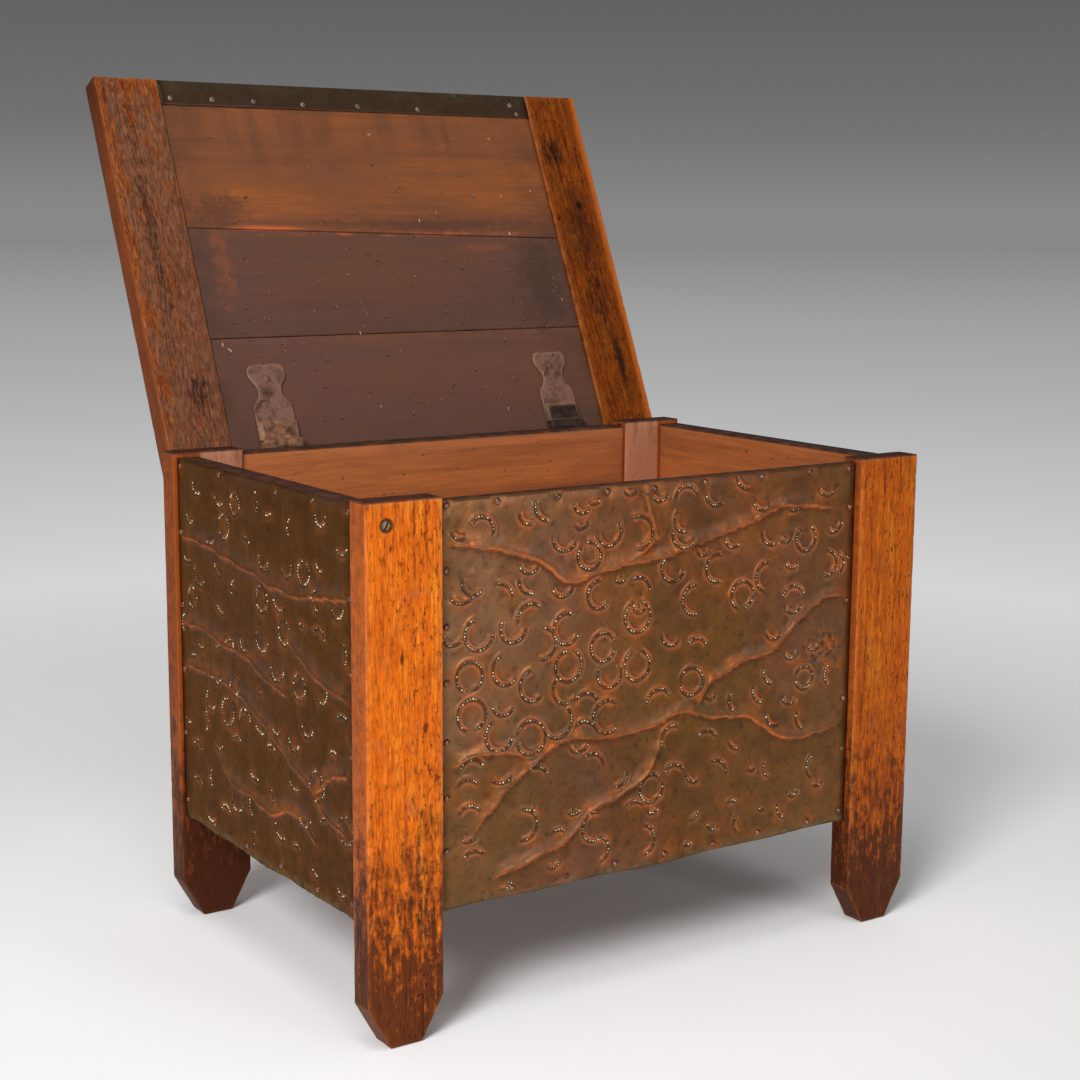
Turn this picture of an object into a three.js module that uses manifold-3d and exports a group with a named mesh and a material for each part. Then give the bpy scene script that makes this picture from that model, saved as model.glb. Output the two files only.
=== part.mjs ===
import * as THREE from "three";
import { mergeVertices } from "three/addons/utils/BufferGeometryUtils.js";
import Module from "manifold-3d";

// A coal bin: four plank posts of oak, softwood walls faced with hammered copper, and a copper covered lid
// on two strap hinges, shown open against its stop. Millimetres, +Z up, the front towards -Y.
// The origin is on the floor, under the middle of the open bin.

// Sizes of the box
const boxWidth = 616;
const boxDepth = 404;
const postHeight = 470;
const postWidth = 74;
const postThickness = 25.4;
const footCutWidth = 21.5;
const footCutHeight = 38;
const wallBottom = 108.5;
const rimDrop = 4.6;
const frontBoardThickness = 12.7;
const backBoardThickness = 22;
const sideBoardThickness = 21;
const frontTongueThickness = 5;
const backTongueThickness = 8;
const tongueLength = 8;

// Sizes of the floor
const cleatWidth = 22;
const cleatHeight = 20;
const floorBoardThickness = 16;

// Sizes of the copper
const copperThickness = 1;
const copperBend = 1.6;
const frontRecess = 8;
const sideRecess = 4;
const edgeWaviness = 1.6;
const veinHalfWidth = 6;
const veinHeight = 2.6;
const veinStep = 13;

// Sizes of the lid, which is set in from the box's sides and front, and overhangs its hinge pins
const lidSideSetIn = 10;
const lidFrontSetIn = 5.8;
const lidOverhang = 19.5;
const railWidth = 69;
const railThickness = 25.4;
const lidBoardThickness = 18;
const lidBoardRecess = 3;
const lidTongueThickness = 7;
const copperReturn = 28;

// Sizes of the hinges, whose middles keep their distance from the lid's rails
const hingeFromRail = 54;
const leafWidth = 43.5;
const leafThickness = 2;
const pinRadius = 3.2;
const pinClearance = 0.3;
const lapLength = 25;
const lapInset = 3.5;
const boxLeafLength = 58;
const lidLeafLength = 87.5;
const headHalfWidth = 21;
const waistHalfWidth = 13;
const headFromTip = 9.5;
const waistFromTip = 30.5;
const shoulderFromTip = 49.5;
const scallopDepth = 1.8;

// The gap that touching pieces keep, and how far a cutter runs past what it cuts
const fitGap = 0.3;
const overrun = 4;
const mergeTolerance = 0.0001;
const roundSteps = 24;

// Heights and places that follow
const boardTop = postHeight - rimDrop;
const wallHeight = boardTop - wallBottom;
const halfWidth = boxWidth / 2;
const halfDepth = boxDepth / 2;
const betweenPosts = boxWidth - 2 * postWidth;
const postInner = halfDepth - postThickness;
const frontBoardOuter = halfDepth - frontRecess - copperThickness - fitGap;
const sideBoardOuter = halfWidth - sideRecess - copperThickness - fitGap;
const sideBoardInner = sideBoardOuter - sideBoardThickness;
const floorTop = wallBottom + cleatHeight + fitGap + floorBoardThickness;

// The hinge pins lie behind the box, as far out and as low as the rolled strap needs
const boreRadius = pinRadius + pinClearance;
const barrelRadius = boreRadius + leafThickness;
const pinY = halfDepth + fitGap + barrelRadius;
const pinZ = postHeight + lidBoardRecess - barrelRadius;
const railUnderside = postHeight + fitGap - pinZ;
const railTop = railUnderside + railThickness;
const lidBoardUnderside = railUnderside + lidBoardRecess;
const lidBoardTop = lidBoardUnderside + lidBoardThickness;
const lidWidth = boxWidth - 2 * lidSideSetIn;
const lidReach = halfDepth + pinY - lidFrontSetIn;
const betweenRails = lidWidth - 2 * railWidth;
const hingeOffset = betweenRails / 2 - hingeFromRail;

// The lid opens until the lower back edge of its rails rests against the posts
const restRadius = Math.hypot(lidOverhang, railUnderside);
const openAngle = Math.atan2(railUnderside, lidOverhang) + Math.acos(-barrelRadius / restRadius);

// The open lid reaches back to the outer edge of its free end, which centres the whole part
const openBack = pinY - lidReach * Math.cos(openAngle) + railTop * Math.sin(openAngle);
const depthCentre = (openBack - halfDepth) / 2;

const oak = () => new THREE.MeshStandardMaterial({ color: 0xa5561b, roughness: 0.45, metalness: 0 });
const softwood = () => new THREE.MeshStandardMaterial({ color: 0x7c4a2b, roughness: 0.7, metalness: 0 });
const copper = () => new THREE.MeshStandardMaterial({ color: 0x7a4a2c, roughness: 0.4, metalness: 0.9 });
const iron = () => new THREE.MeshStandardMaterial({ color: 0x5c4a42, roughness: 0.6, metalness: 0.8 });

const wasm = await Module();
wasm.setup();

function solidFrom(geometry) {
  const bare = geometry.clone();
  bare.deleteAttribute("normal");
  bare.deleteAttribute("uv");
  const merged = mergeVertices(bare, mergeTolerance);
  return new wasm.Manifold(
    new wasm.Mesh({
      numProp: 3,
      vertProperties: merged.attributes.position.array,
      triVerts: new Uint32Array(merged.index.array),
    }),
  );
}

function geometryFrom(solid) {
  const mesh = solid.getMesh();
  const geometry = new THREE.BufferGeometry();
  geometry.setAttribute("position", new THREE.BufferAttribute(mesh.vertProperties, 3));
  geometry.setIndex(new THREE.BufferAttribute(mesh.triVerts, 1));
  geometry.computeVertexNormals();
  return geometry;
}

// A box from its lowest corner to its highest
function boxBetween(low, high) {
  const size = high.map((value, axis) => value - low[axis]);
  const centre = high.map((value, axis) => (value + low[axis]) / 2);
  return new THREE.BoxGeometry(...size).translate(...centre);
}

function outline(points) {
  return new THREE.Shape(points.map(([x, y]) => new THREE.Vector2(x, y)));
}

function extrude(shape, depth) {
  return new THREE.ExtrudeGeometry(shape, { depth, bevelEnabled: false, curveSegments: roundSteps / 2 });
}

// A drawing in X and Z, given thickness from its face at yLow towards +Y
function standing(shape, thickness, yLow) {
  return extrude(shape, thickness).rotateX(Math.PI / 2).translate(0, yLow + thickness, 0);
}

// A drawing in Y and Z, given width from xLow towards +X
function crosswise(shape, width, xLow) {
  return extrude(shape, width).rotateX(Math.PI / 2).rotateZ(Math.PI / 2).translate(xLow, 0, 0);
}

function add(group, name, geometry, material) {
  const mesh = new THREE.Mesh(geometry, material);
  mesh.name = name;
  group.add(mesh);
  return mesh;
}

const part = new THREE.Group();
const box = new THREE.Group();
box.position.y = -depthCentre;
part.add(box);

// A corner post is a plank with both lower corners cut, and a stopped groove in its inner edge
// that takes the tongues of the wall boards between the posts
function postGeometry(side, front) {
  const outer = side * halfWidth;
  const inner = side * (halfWidth - postWidth);
  const plank = outline([
    [outer, postHeight],
    [outer, footCutHeight],
    [outer - side * footCutWidth, 0],
    [inner + side * footCutWidth, 0],
    [inner, footCutHeight],
    [inner, postHeight],
  ]);
  const low = front ? -halfDepth : postInner;
  const body = solidFrom(standing(plank, postThickness, low));
  const tongue = front ? frontTongueThickness : backTongueThickness;
  const middle = front
    ? frontBoardThickness / 2 - frontBoardOuter
    : halfDepth - backBoardThickness / 2;
  const grooveX = [inner - side * overrun, inner + side * (tongueLength + fitGap)].sort((a, b) => a - b);
  const groove = boxBetween(
    [grooveX[0], middle - tongue / 2 - fitGap, wallBottom - fitGap],
    [grooveX[1], middle + tongue / 2 + fitGap, boardTop + fitGap],
  );
  return geometryFrom(body.subtract(solidFrom(groove)));
}

for (const [sideName, side] of [["left", -1], ["right", 1]]) {
  add(box, "post_front_" + sideName, postGeometry(side, true), oak());
  add(box, "post_back_" + sideName, postGeometry(side, false), oak());
}

// The cross section of a board with a tongue on both ends, across its length and its thickness
function tonguedSection(length, thickness, tongueThickness) {
  const end = length / 2;
  const tip = end + tongueLength;
  const low = (thickness - tongueThickness) / 2;
  const high = low + tongueThickness;
  return outline([
    [-end, 0],
    [end, 0],
    [end, low],
    [tip, low],
    [tip, high],
    [end, high],
    [end, thickness],
    [-end, thickness],
    [-end, high],
    [-tip, high],
    [-tip, low],
    [-end, low],
  ]);
}

// Wall boards lie one over the other
const wallNames = ["lower", "upper"];
const wallBoardHeight = (wallHeight - (wallNames.length - 1) * fitGap) / wallNames.length;

wallNames.forEach((name, index) => {
  const low = wallBottom + index * (wallBoardHeight + fitGap);
  const length = betweenPosts - 2 * fitGap;
  const front = extrude(
    tonguedSection(length, frontBoardThickness, frontTongueThickness),
    wallBoardHeight,
  ).translate(0, -frontBoardOuter, low);
  const back = extrude(
    tonguedSection(length, backBoardThickness, backTongueThickness),
    wallBoardHeight,
  ).translate(0, halfDepth - backBoardThickness, low);
  add(box, "front_board_" + name, front, softwood());
  add(box, "back_board_" + name, back, softwood());
  const sideEnd = postInner - fitGap;
  const high = low + wallBoardHeight;
  const left = boxBetween([-sideBoardOuter, -sideEnd, low], [-sideBoardInner, sideEnd, high]);
  const right = boxBetween([sideBoardInner, -sideEnd, low], [sideBoardOuter, sideEnd, high]);
  add(box, "left_board_" + name, left, softwood());
  add(box, "right_board_" + name, right, softwood());
});

// The floor boards run from side to side on a cleat along each side wall
const floorEnd = sideBoardInner - fitGap;
const floorReach = postInner - fitGap;
for (const [sideName, side] of [["left", -1], ["right", 1]]) {
  const across = [side * floorEnd, side * (floorEnd - cleatWidth)].sort((a, b) => a - b);
  const cleat = boxBetween(
    [across[0], -floorReach, wallBottom],
    [across[1], floorReach, wallBottom + cleatHeight],
  );
  add(box, "floor_cleat_" + sideName, cleat, softwood());
}
const floorNames = ["front", "middle", "back"];
const floorBoardWidth = (2 * floorReach - (floorNames.length - 1) * fitGap) / floorNames.length;
floorNames.forEach((name, index) => {
  const low = -floorReach + index * (floorBoardWidth + fitGap);
  const board = boxBetween(
    [-floorEnd, low, floorTop - floorBoardThickness],
    [floorEnd, low + floorBoardWidth, floorTop],
  );
  add(box, "floor_board_" + name, board, softwood());
});

// Hammered copper. Each sheet is drawn flat, X across and Y up, with its worked face towards +Z.
// The veins are ridges driven up from behind: each is a run of shares of the sheet's width and height.
const frontVeinShares = [
  [[0.02, 0.9], [0.13, 0.87], [0.22, 0.83], [0.285, 0.775], [0.35, 0.79], [0.43, 0.81], [0.49, 0.855]],
  [[0.3, 0.778], [0.4, 0.8], [0.51, 0.81], [0.6, 0.84], [0.7, 0.865], [0.79, 0.9], [0.87, 0.905],
    [0.95, 0.88]],
  [[0.49, 0.85], [0.475, 0.9], [0.46, 0.97]],
  [[0.06, 0.17], [0.11, 0.235], [0.18, 0.31], [0.28, 0.375], [0.38, 0.365], [0.48, 0.375], [0.56, 0.397],
    [0.64, 0.367], [0.73, 0.35], [0.8, 0.29], [0.89, 0.268], [0.98, 0.295]],
  [[0.03, 0.357], [0.1, 0.377], [0.16, 0.365], [0.23, 0.35]],
  [[0.59, 0.4], [0.62, 0.455], [0.7, 0.5], [0.79, 0.525], [0.86, 0.6], [0.92, 0.64], [0.98, 0.642]],
  [[0.12, 0.06], [0.2, 0.085], [0.28, 0.115], [0.34, 0.18], [0.42, 0.21], [0.48, 0.265], [0.505, 0.33]],
];
const sideVeinShares = [
  [[0.02, 0.79], [0.15, 0.79], [0.3, 0.775], [0.45, 0.76], [0.56, 0.74], [0.7, 0.74], [0.84, 0.755],
    [0.97, 0.775]],
  [[0.02, 0.55], [0.13, 0.56], [0.26, 0.54], [0.4, 0.535], [0.52, 0.5], [0.64, 0.475]],
  [[0.02, 0.43], [0.15, 0.44], [0.3, 0.435], [0.43, 0.41], [0.56, 0.36], [0.68, 0.305], [0.79, 0.265],
    [0.87, 0.215], [0.96, 0.195]],
  [[0.8, 0.265], [0.86, 0.315], [0.96, 0.35]],
  [[0.24, 0.24], [0.31, 0.18], [0.44, 0.165], [0.55, 0.15], [0.68, 0.185], [0.8, 0.14]],
  [[0.66, 0.62], [0.74, 0.585], [0.83, 0.55], [0.97, 0.53]],
];
const lidVeinShares = [
  [[0.03, 0.72], [0.16, 0.76], [0.3, 0.7], [0.44, 0.74], [0.58, 0.82], [0.74, 0.8], [0.88, 0.87],
    [0.97, 0.86]],
  [[0.03, 0.3], [0.14, 0.36], [0.27, 0.33], [0.4, 0.42], [0.53, 0.5], [0.66, 0.48], [0.8, 0.56],
    [0.97, 0.52]],
  [[0.3, 0.35], [0.4, 0.28], [0.5, 0.2], [0.62, 0.17]],
  [[0.64, 0.485], [0.74, 0.4], [0.84, 0.3], [0.97, 0.26]],
];
const veinTipShare = 0.25;
const veinTaperShare = 0.16;
const shoulderShare = 0.5;
const shoulderHeightShare = 0.68;

// A ridge swept along a run of points, half sunk in the sheet so that the join is clean
function veinSolid(run, width, height) {
  const points = run.map(([across, up]) => new THREE.Vector3(across * width, up * height, 0));
  const curve = new THREE.CatmullRomCurve3(points, false, "centripetal");
  const steps = Math.max(3, Math.round(curve.getLength() / veinStep));
  const along = new THREE.Vector3();
  const positions = [];
  for (let step = 0; step <= steps; step++) {
    const share = step / steps;
    const centre = curve.getPointAt(share);
    curve.getTangentAt(share, along);
    const toEnd = Math.min(share, 1 - share) / veinTaperShare;
    const swell = veinTipShare + (1 - veinTipShare) * Math.min(1, toEnd);
    const across = veinHalfWidth * swell;
    const rise = veinHeight * swell;
    const section = [
      [-across, -copperThickness / 2],
      [across, -copperThickness / 2],
      [across * shoulderShare, rise * shoulderHeightShare],
      [0, rise],
      [-across * shoulderShare, rise * shoulderHeightShare],
    ];
    for (const [offset, up] of section) {
      positions.push(centre.x - along.y * offset, centre.y + along.x * offset, up);
    }
  }
  const ring = positions.length / 3 / (steps + 1);
  const faces = [];
  for (let step = 0; step < steps; step++) {
    for (let corner = 0; corner < ring; corner++) {
      const next = (corner + 1) % ring;
      const a = step * ring + corner;
      const b = step * ring + next;
      faces.push(a, b, b + ring, a, b + ring, a + ring);
    }
  }
  for (let corner = 1; corner < ring - 1; corner++) {
    faces.push(0, corner + 1, corner);
    faces.push(steps * ring, steps * ring + corner, steps * ring + corner + 1);
  }
  const geometry = new THREE.BufferGeometry();
  geometry.setAttribute("position", new THREE.Float32BufferAttribute(positions, 3));
  geometry.setIndex(faces);
  return solidFrom(geometry);
}

// The veins of a sheet, placed over its lower left corner and joined to it
function withVeins(sheet, veins, width, height, left, low, face) {
  return veins.reduce(
    (whole, run) => whole.add(veinSolid(run, width, height).translate([left, low, face])),
    sheet,
  );
}

// A wall sheet has three straight edges and a lower edge cut by hand
const edgeWaves = [3, 7];
const edgeSteps = 28;

function wallSheet(width, height, veins) {
  const points = [
    [width, height],
    [0, height],
  ];
  for (let step = 0; step <= edgeSteps; step++) {
    const share = step / edgeSteps;
    const wave = edgeWaves.reduce((sum, count) => sum + Math.sin(share * count * Math.PI), 0);
    points.push([share * width, (edgeWaviness * wave) / edgeWaves.length]);
  }
  const sheet = solidFrom(extrude(outline(points), copperThickness));
  return geometryFrom(withVeins(sheet, veins, width, height, 0, 0, copperThickness));
}

const frontSheetWidth = betweenPosts - 2 * fitGap;
const frontSheet = wallSheet(frontSheetWidth, wallHeight, frontVeinShares);
frontSheet.rotateX(Math.PI / 2);
frontSheet.translate(-frontSheetWidth / 2, -frontBoardOuter - fitGap, wallBottom);
add(box, "copper_front", frontSheet, copper());

const sideSheetWidth = 2 * (postInner - fitGap);
for (const [sideName, side] of [["left", -1], ["right", 1]]) {
  const sheet = wallSheet(sideSheetWidth, wallHeight, sideVeinShares);
  sheet.rotateX(Math.PI / 2);
  sheet.rotateZ((side * Math.PI) / 2);
  sheet.translate(side * (sideBoardOuter + fitGap), (-side * sideSheetWidth) / 2, wallBottom);
  add(box, "copper_" + sideName, sheet, copper());
}

// The lid turns about the hinge pins. Its group stands on the pin axis and is drawn closed.
const lid = new THREE.Group();
lid.position.set(0, pinY, pinZ);
lid.rotation.x = -openAngle;
box.add(lid);

const lidBoardLength = betweenRails - 2 * fitGap;
const lidBoardFront = lidReach - copperThickness - fitGap;

for (const [sideName, side] of [["left", -1], ["right", 1]]) {
  const outer = (side * lidWidth) / 2;
  const inner = (side * betweenRails) / 2;
  const across = [outer, inner].sort((a, b) => a - b);
  const low = [across[0], -lidReach, railUnderside];
  const high = [across[1], lidOverhang, railTop];
  const rail = solidFrom(boxBetween(low, high));
  const grooveX = [inner - side * overrun, inner + side * (tongueLength + fitGap)].sort((a, b) => a - b);
  const tongueLow = lidBoardUnderside + (lidBoardThickness - lidTongueThickness) / 2;
  const groove = boxBetween(
    [grooveX[0], -lidReach - overrun, tongueLow - fitGap],
    [grooveX[1], lidOverhang + overrun, tongueLow + lidTongueThickness + fitGap],
  );
  add(lid, "lid_rail_" + sideName, geometryFrom(rail.subtract(solidFrom(groove))), oak());
}

// The three lid boards meet at joints that aren't quite square: each joint is placed at its left
// and right end as a share of the way from the back edge to the front edge
const lidJointShares = [
  [0, 0],
  [0.324, 0.324],
  [0.612, 0.582],
  [1, 1],
];
const lidBoardNames = ["back", "middle", "front"];

function lidBoard(near, far) {
  const section = tonguedSection(lidBoardLength, lidBoardThickness, lidTongueThickness);
  const board = extrude(section, 1).rotateX(Math.PI / 2);
  const place = board.attributes.position;
  const length = lidBoardFront + lidOverhang;
  for (let index = 0; index < place.count; index++) {
    const toRight = place.getX(index) / lidBoardLength + 0.5;
    const nearShare = THREE.MathUtils.lerp(near[0], near[1], toRight);
    const farShare = THREE.MathUtils.lerp(far[0], far[1], toRight);
    const joint = Math.round(-place.getY(index));
    const gap = joint ? -fitGap / 2 : fitGap / 2;
    const onEdge = joint ? farShare : nearShare;
    place.setY(index, lidOverhang - onEdge * length - gap);
  }
  return board.translate(0, 0, lidBoardUnderside);
}

lidBoardNames.forEach((name, index) => {
  const board = lidBoard(lidJointShares[index], lidJointShares[index + 1]);
  add(lid, "lid_board_" + name, board, softwood());
});

// The lid's copper lies over the boards, turns down over their front edge and back under it
const lidSheetLow = lidBoardUnderside - fitGap - copperThickness;
const lidSheetHigh = lidBoardTop + fitGap;
const lidSheetFace = lidSheetHigh + copperThickness;

function lidSheetSection() {
  const bendY = -lidReach + copperBend;
  const bendsZ = [lidSheetFace - copperBend, lidSheetLow + copperBend];
  const inside = copperBend - copperThickness;
  const [down, left, up] = [1.5 * Math.PI, Math.PI, 0.5 * Math.PI];
  return new THREE.Shape()
    .moveTo(lidOverhang, lidSheetHigh)
    .lineTo(lidOverhang, lidSheetFace)
    .absarc(bendY, bendsZ[0], copperBend, up, left, false)
    .absarc(bendY, bendsZ[1], copperBend, left, down, false)
    .lineTo(-lidReach + copperReturn, lidSheetLow)
    .lineTo(-lidReach + copperReturn, lidSheetLow + copperThickness)
    .absarc(bendY, bendsZ[1], inside, down, left, true)
    .absarc(bendY, bendsZ[0], inside, left, up, true);
}

const lidSheetWidth = betweenRails - 2 * fitGap;
const lidSheet = solidFrom(crosswise(lidSheetSection(), lidSheetWidth, -lidSheetWidth / 2));
const lidCopper = withVeins(
  lidSheet,
  lidVeinShares,
  lidSheetWidth,
  lidReach + lidOverhang,
  -lidSheetWidth / 2,
  -lidReach,
  lidSheetFace,
);
add(lid, "copper_lid", geometryFrom(lidCopper), copper());

// Strap hinges. A strap is rolled round the pin and the lid's strap is lapped back on itself.
// It is drawn with its pin on the X axis and the strap running towards -Y, flat side up.
function disc(radius, width) {
  return new THREE.CylinderGeometry(radius, radius, width, roundSteps).rotateZ(Math.PI / 2);
}

function rolledStrap(length, lap) {
  const half = leafWidth / 2;
  const flap = boxBetween([-half, -length, boreRadius], [half, 0, barrelRadius]);
  let strap = solidFrom(flap).add(solidFrom(disc(barrelRadius, leafWidth)));
  if (lap > 0) {
    const under = boxBetween(
      [lapInset - half, -lap, boreRadius - leafThickness],
      [half, -boreRadius, boreRadius],
    );
    strap = strap.add(solidFrom(under));
  }
  return strap.subtract(solidFrom(disc(boreRadius, leafWidth + 2 * overrun)));
}

// The room for the other strap's knuckle, cut from a strap between two places across it
function knuckleRoom(low, high) {
  const reach = barrelRadius + fitGap;
  return solidFrom(boxBetween([low, -reach, -reach], [high, reach, reach]));
}

const knuckleHalf = leafWidth / 6;

function outerRooms(strap) {
  const half = leafWidth / 2 + overrun;
  return strap
    .subtract(knuckleRoom(-half, -knuckleHalf))
    .subtract(knuckleRoom(knuckleHalf, half));
}

// The plan of the lid's strap: straight beside the pin, drawn in to a waist, and a round head whose end is
// filed into shallow scallops
function headShape(lobes) {
  const half = leafWidth / 2;
  const headAlong = lidLeafLength - headFromTip;
  const waistAlong = lidLeafLength - waistFromTip;
  const shoulderAlong = lidLeafLength - shoulderFromTip;
  const shape = new THREE.Shape();
  const sweepTo = (x, y) => {
    const middle = (shape.currentPoint.y + y) / 2;
    shape.bezierCurveTo(shape.currentPoint.x, middle, x, middle, x, y);
  };
  shape.moveTo(-half, barrelRadius + overrun);
  shape.lineTo(-half, -shoulderAlong);
  sweepTo(-waistHalfWidth, -waistAlong);
  sweepTo(-headHalfWidth, -headAlong);
  const lobe = (2 * headHalfWidth) / lobes;
  for (let index = 0; index < lobes; index++) {
    const start = -headHalfWidth + index * lobe;
    const end = start + lobe;
    const endAlong = index < lobes - 1 ? lidLeafLength - scallopDepth : headAlong;
    shape.quadraticCurveTo(start, -lidLeafLength, start + lobe / 2, -lidLeafLength);
    shape.quadraticCurveTo(end, -lidLeafLength, end, -endAlong);
  }
  sweepTo(waistHalfWidth, -waistAlong);
  sweepTo(half, -shoulderAlong);
  shape.lineTo(half, barrelRadius + overrun);
  return shape;
}

function lidLeaf(lobes) {
  const reach = barrelRadius + overrun;
  const plan = extrude(headShape(lobes), 2 * reach).translate(0, 0, -reach);
  const strap = outerRooms(rolledStrap(lidLeafLength, lapLength));
  return geometryFrom(strap.intersect(solidFrom(plan)));
}

// The box's strap hangs down the back boards, so it is turned from the lid's direction
function boxLeaf() {
  const strap = rolledStrap(boxLeafLength, 0);
  const cut = strap.subtract(knuckleRoom(-knuckleHalf - fitGap, knuckleHalf + fitGap));
  return geometryFrom(cut).rotateX(Math.PI / 2);
}

for (const [sideName, side, lobes] of [["left", -1, 2], ["right", 1, 3]]) {
  const across = side * hingeOffset;
  add(lid, "hinge_leaf_lid_" + sideName, lidLeaf(lobes).translate(across, 0, 0), iron());
  add(box, "hinge_leaf_box_" + sideName, boxLeaf().translate(across, pinY, pinZ), iron());
  const pin = disc(pinRadius, leafWidth).translate(across, pinY, pinZ);
  add(box, "hinge_pin_" + sideName, pin, iron());
}

export default part;
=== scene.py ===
import math

import bmesh
import bpy
import numpy as np
from mathutils import Matrix, Vector, noise


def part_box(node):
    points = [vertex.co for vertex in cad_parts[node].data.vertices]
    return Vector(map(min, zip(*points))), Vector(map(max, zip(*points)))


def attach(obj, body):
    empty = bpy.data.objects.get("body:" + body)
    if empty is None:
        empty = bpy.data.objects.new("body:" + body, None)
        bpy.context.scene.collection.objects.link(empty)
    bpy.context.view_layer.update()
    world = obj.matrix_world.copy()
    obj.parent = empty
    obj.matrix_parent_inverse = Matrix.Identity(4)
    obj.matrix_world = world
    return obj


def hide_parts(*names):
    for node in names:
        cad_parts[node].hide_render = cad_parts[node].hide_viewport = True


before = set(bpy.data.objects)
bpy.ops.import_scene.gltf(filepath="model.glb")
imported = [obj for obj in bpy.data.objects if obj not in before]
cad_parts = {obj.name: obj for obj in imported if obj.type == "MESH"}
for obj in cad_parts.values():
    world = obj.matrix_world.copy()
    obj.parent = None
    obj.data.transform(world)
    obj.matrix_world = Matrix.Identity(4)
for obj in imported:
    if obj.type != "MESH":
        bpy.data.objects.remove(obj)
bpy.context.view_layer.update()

# The studio: a pale floor that turns to mid grey far behind the bin, a grey backdrop, one large soft lamp
# from the front left, weaker ones from above and from the right, and even light from all sides.
camera_place = Vector((-1.0483, -1.6450, 0.7024))
camera_azimuth = math.radians(-34.13)
camera_pitch = math.radians(9.70)
camera_roll = math.radians(0.37)
camera_lens = 64.30
camera_sensor = 36.0
floor_reach = 40.0
floor_depth = 0.0003
floor_levels = [(0.0, 1.0), (0.143, 0.98), (0.25, 0.85), (0.324, 0.73), (0.423, 0.62),
                (0.531, 0.53), (0.651, 0.435), (0.786, 0.352), (0.93, 0.245)]
floor_bend = 3.0
shadow_fades_from = 0.6
shadow_fades_to = 2.0
sky_levels = [(0.0, 0.245), (0.35, 0.16), (0.7, 0.125), (1.0, 0.11)]
sky_top = math.sin(math.radians(8))
even_light = 0.31
lamp_aim = Vector((0, -0.1, 0.3))
# Each lamp has a place, a width in metres and a power in watts
lamps = {
    "soft_lamp_left": ((-2.85, -2.0, 2.4), 1.5, 121),
    "soft_lamp_above": ((-0.9, -0.9, 3.2), 1.3, 18),
    "soft_lamp_right": ((1.0, -3.4, 0.7), 1.0, 19),
}


class Share:
    """A number that a node tree works out at each place. A sum with it adds a node to its tree."""

    def __init__(self, socket):
        self.socket = socket

    def worked(self, how, other=0.0):
        node = add_node(self.socket.id_data, "ShaderNodeMath", {0: self, 1: other}, operation=how)
        return Share(node.outputs[0])

    def __add__(self, other):
        return self.worked("ADD", other)

    def __mul__(self, other):
        return self.worked("MULTIPLY", other)

    def __truediv__(self, other):
        return self.worked("DIVIDE", other)

    def __pow__(self, other):
        return self.worked("POWER", other)

    def most(self, other):
        return self.worked("MAXIMUM", other)

    def between(self, start, end, low=0.0, high=1.0, how="LINEAR"):
        """Low at the start, high at the end, and held level outside them."""
        node = add_node(self.socket.id_data, "ShaderNodeMapRange", {
            0: self, 1: start, 2: end, 3: low, 4: high}, interpolation_type=how)
        return Share(node.outputs[0])


def add_node(tree, kind, inputs=None, **settings):
    """Adds a shader or geometry node, sets its own settings, and gives each input a value or a link."""
    node = tree.nodes.new(kind)
    for key, value in settings.items():
        setattr(node, key, value)
    for key, value in (inputs or {}).items():
        value = getattr(value, "socket", value)
        if isinstance(value, bpy.types.NodeSocket):
            tree.links.new(value, node.inputs[key])
        else:
            node.inputs[key].default_value = value
    return node


def ramp(share, stops):
    """A colour ramp over a share from 0 to 1. Each stop is a place and a grey level or a colour."""
    node = add_node(share.socket.id_data, "ShaderNodeValToRGB", {"Fac": share})
    elements = node.color_ramp.elements
    elements.remove(elements[1])
    for index, (place, level) in enumerate(stops):
        element = elements.new(place) if index else elements[0]
        element.position = place
        element.color = level if isinstance(level, tuple) else (level, level, level, 1.0)
    return node.outputs["Color"]


def new_material(name, turn=Matrix()):
    """An empty node material, and Object coordinates turned into a piece's own frame."""
    material = bpy.data.materials.new(name)
    material.use_nodes = True
    tree = material.node_tree
    tree.nodes.clear()
    where, turned, _ = turn.decompose()
    own = add_node(tree, "ShaderNodeMapping", {
        "Vector": add_node(tree, "ShaderNodeTexCoord").outputs["Object"],
        "Location": where, "Rotation": turned.to_euler()}, vector_type="TEXTURE")
    return material, own.outputs[0]


def placed(name, data):
    """An object with its data, linked into the scene."""
    thing = bpy.data.objects.new(name, data)
    bpy.context.scene.collection.objects.link(thing)
    return thing


def seen_by_camera(tree):
    """One for rays from the camera, from glossy surfaces and through glass, and zero for the others."""
    path = add_node(tree, "ShaderNodeLightPath").outputs
    return Share(path["Is Camera Ray"]).most(path["Is Glossy Ray"]).most(path["Is Transmission Ray"])


def make_camera():
    """The camera, placed and turned as it was solved from the photograph."""
    level = Vector((math.cos(camera_azimuth), math.sin(camera_azimuth), 0))
    away = math.cos(camera_pitch)
    forward = Vector((-level.y * away, level.x * away, -math.sin(camera_pitch)))
    upright = level.cross(forward)
    right = level * math.cos(camera_roll) + upright * math.sin(camera_roll)
    up = upright * math.cos(camera_roll) - level * math.sin(camera_roll)
    camera = placed("camera", bpy.data.cameras.new("camera"))
    camera.data.lens = camera_lens
    camera.data.sensor_width = camera_sensor
    turn = Matrix((right, up, -forward)).transposed().to_4x4()
    camera.matrix_world = Matrix.Translation(camera_place) @ turn
    bpy.context.scene.camera = camera


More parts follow.
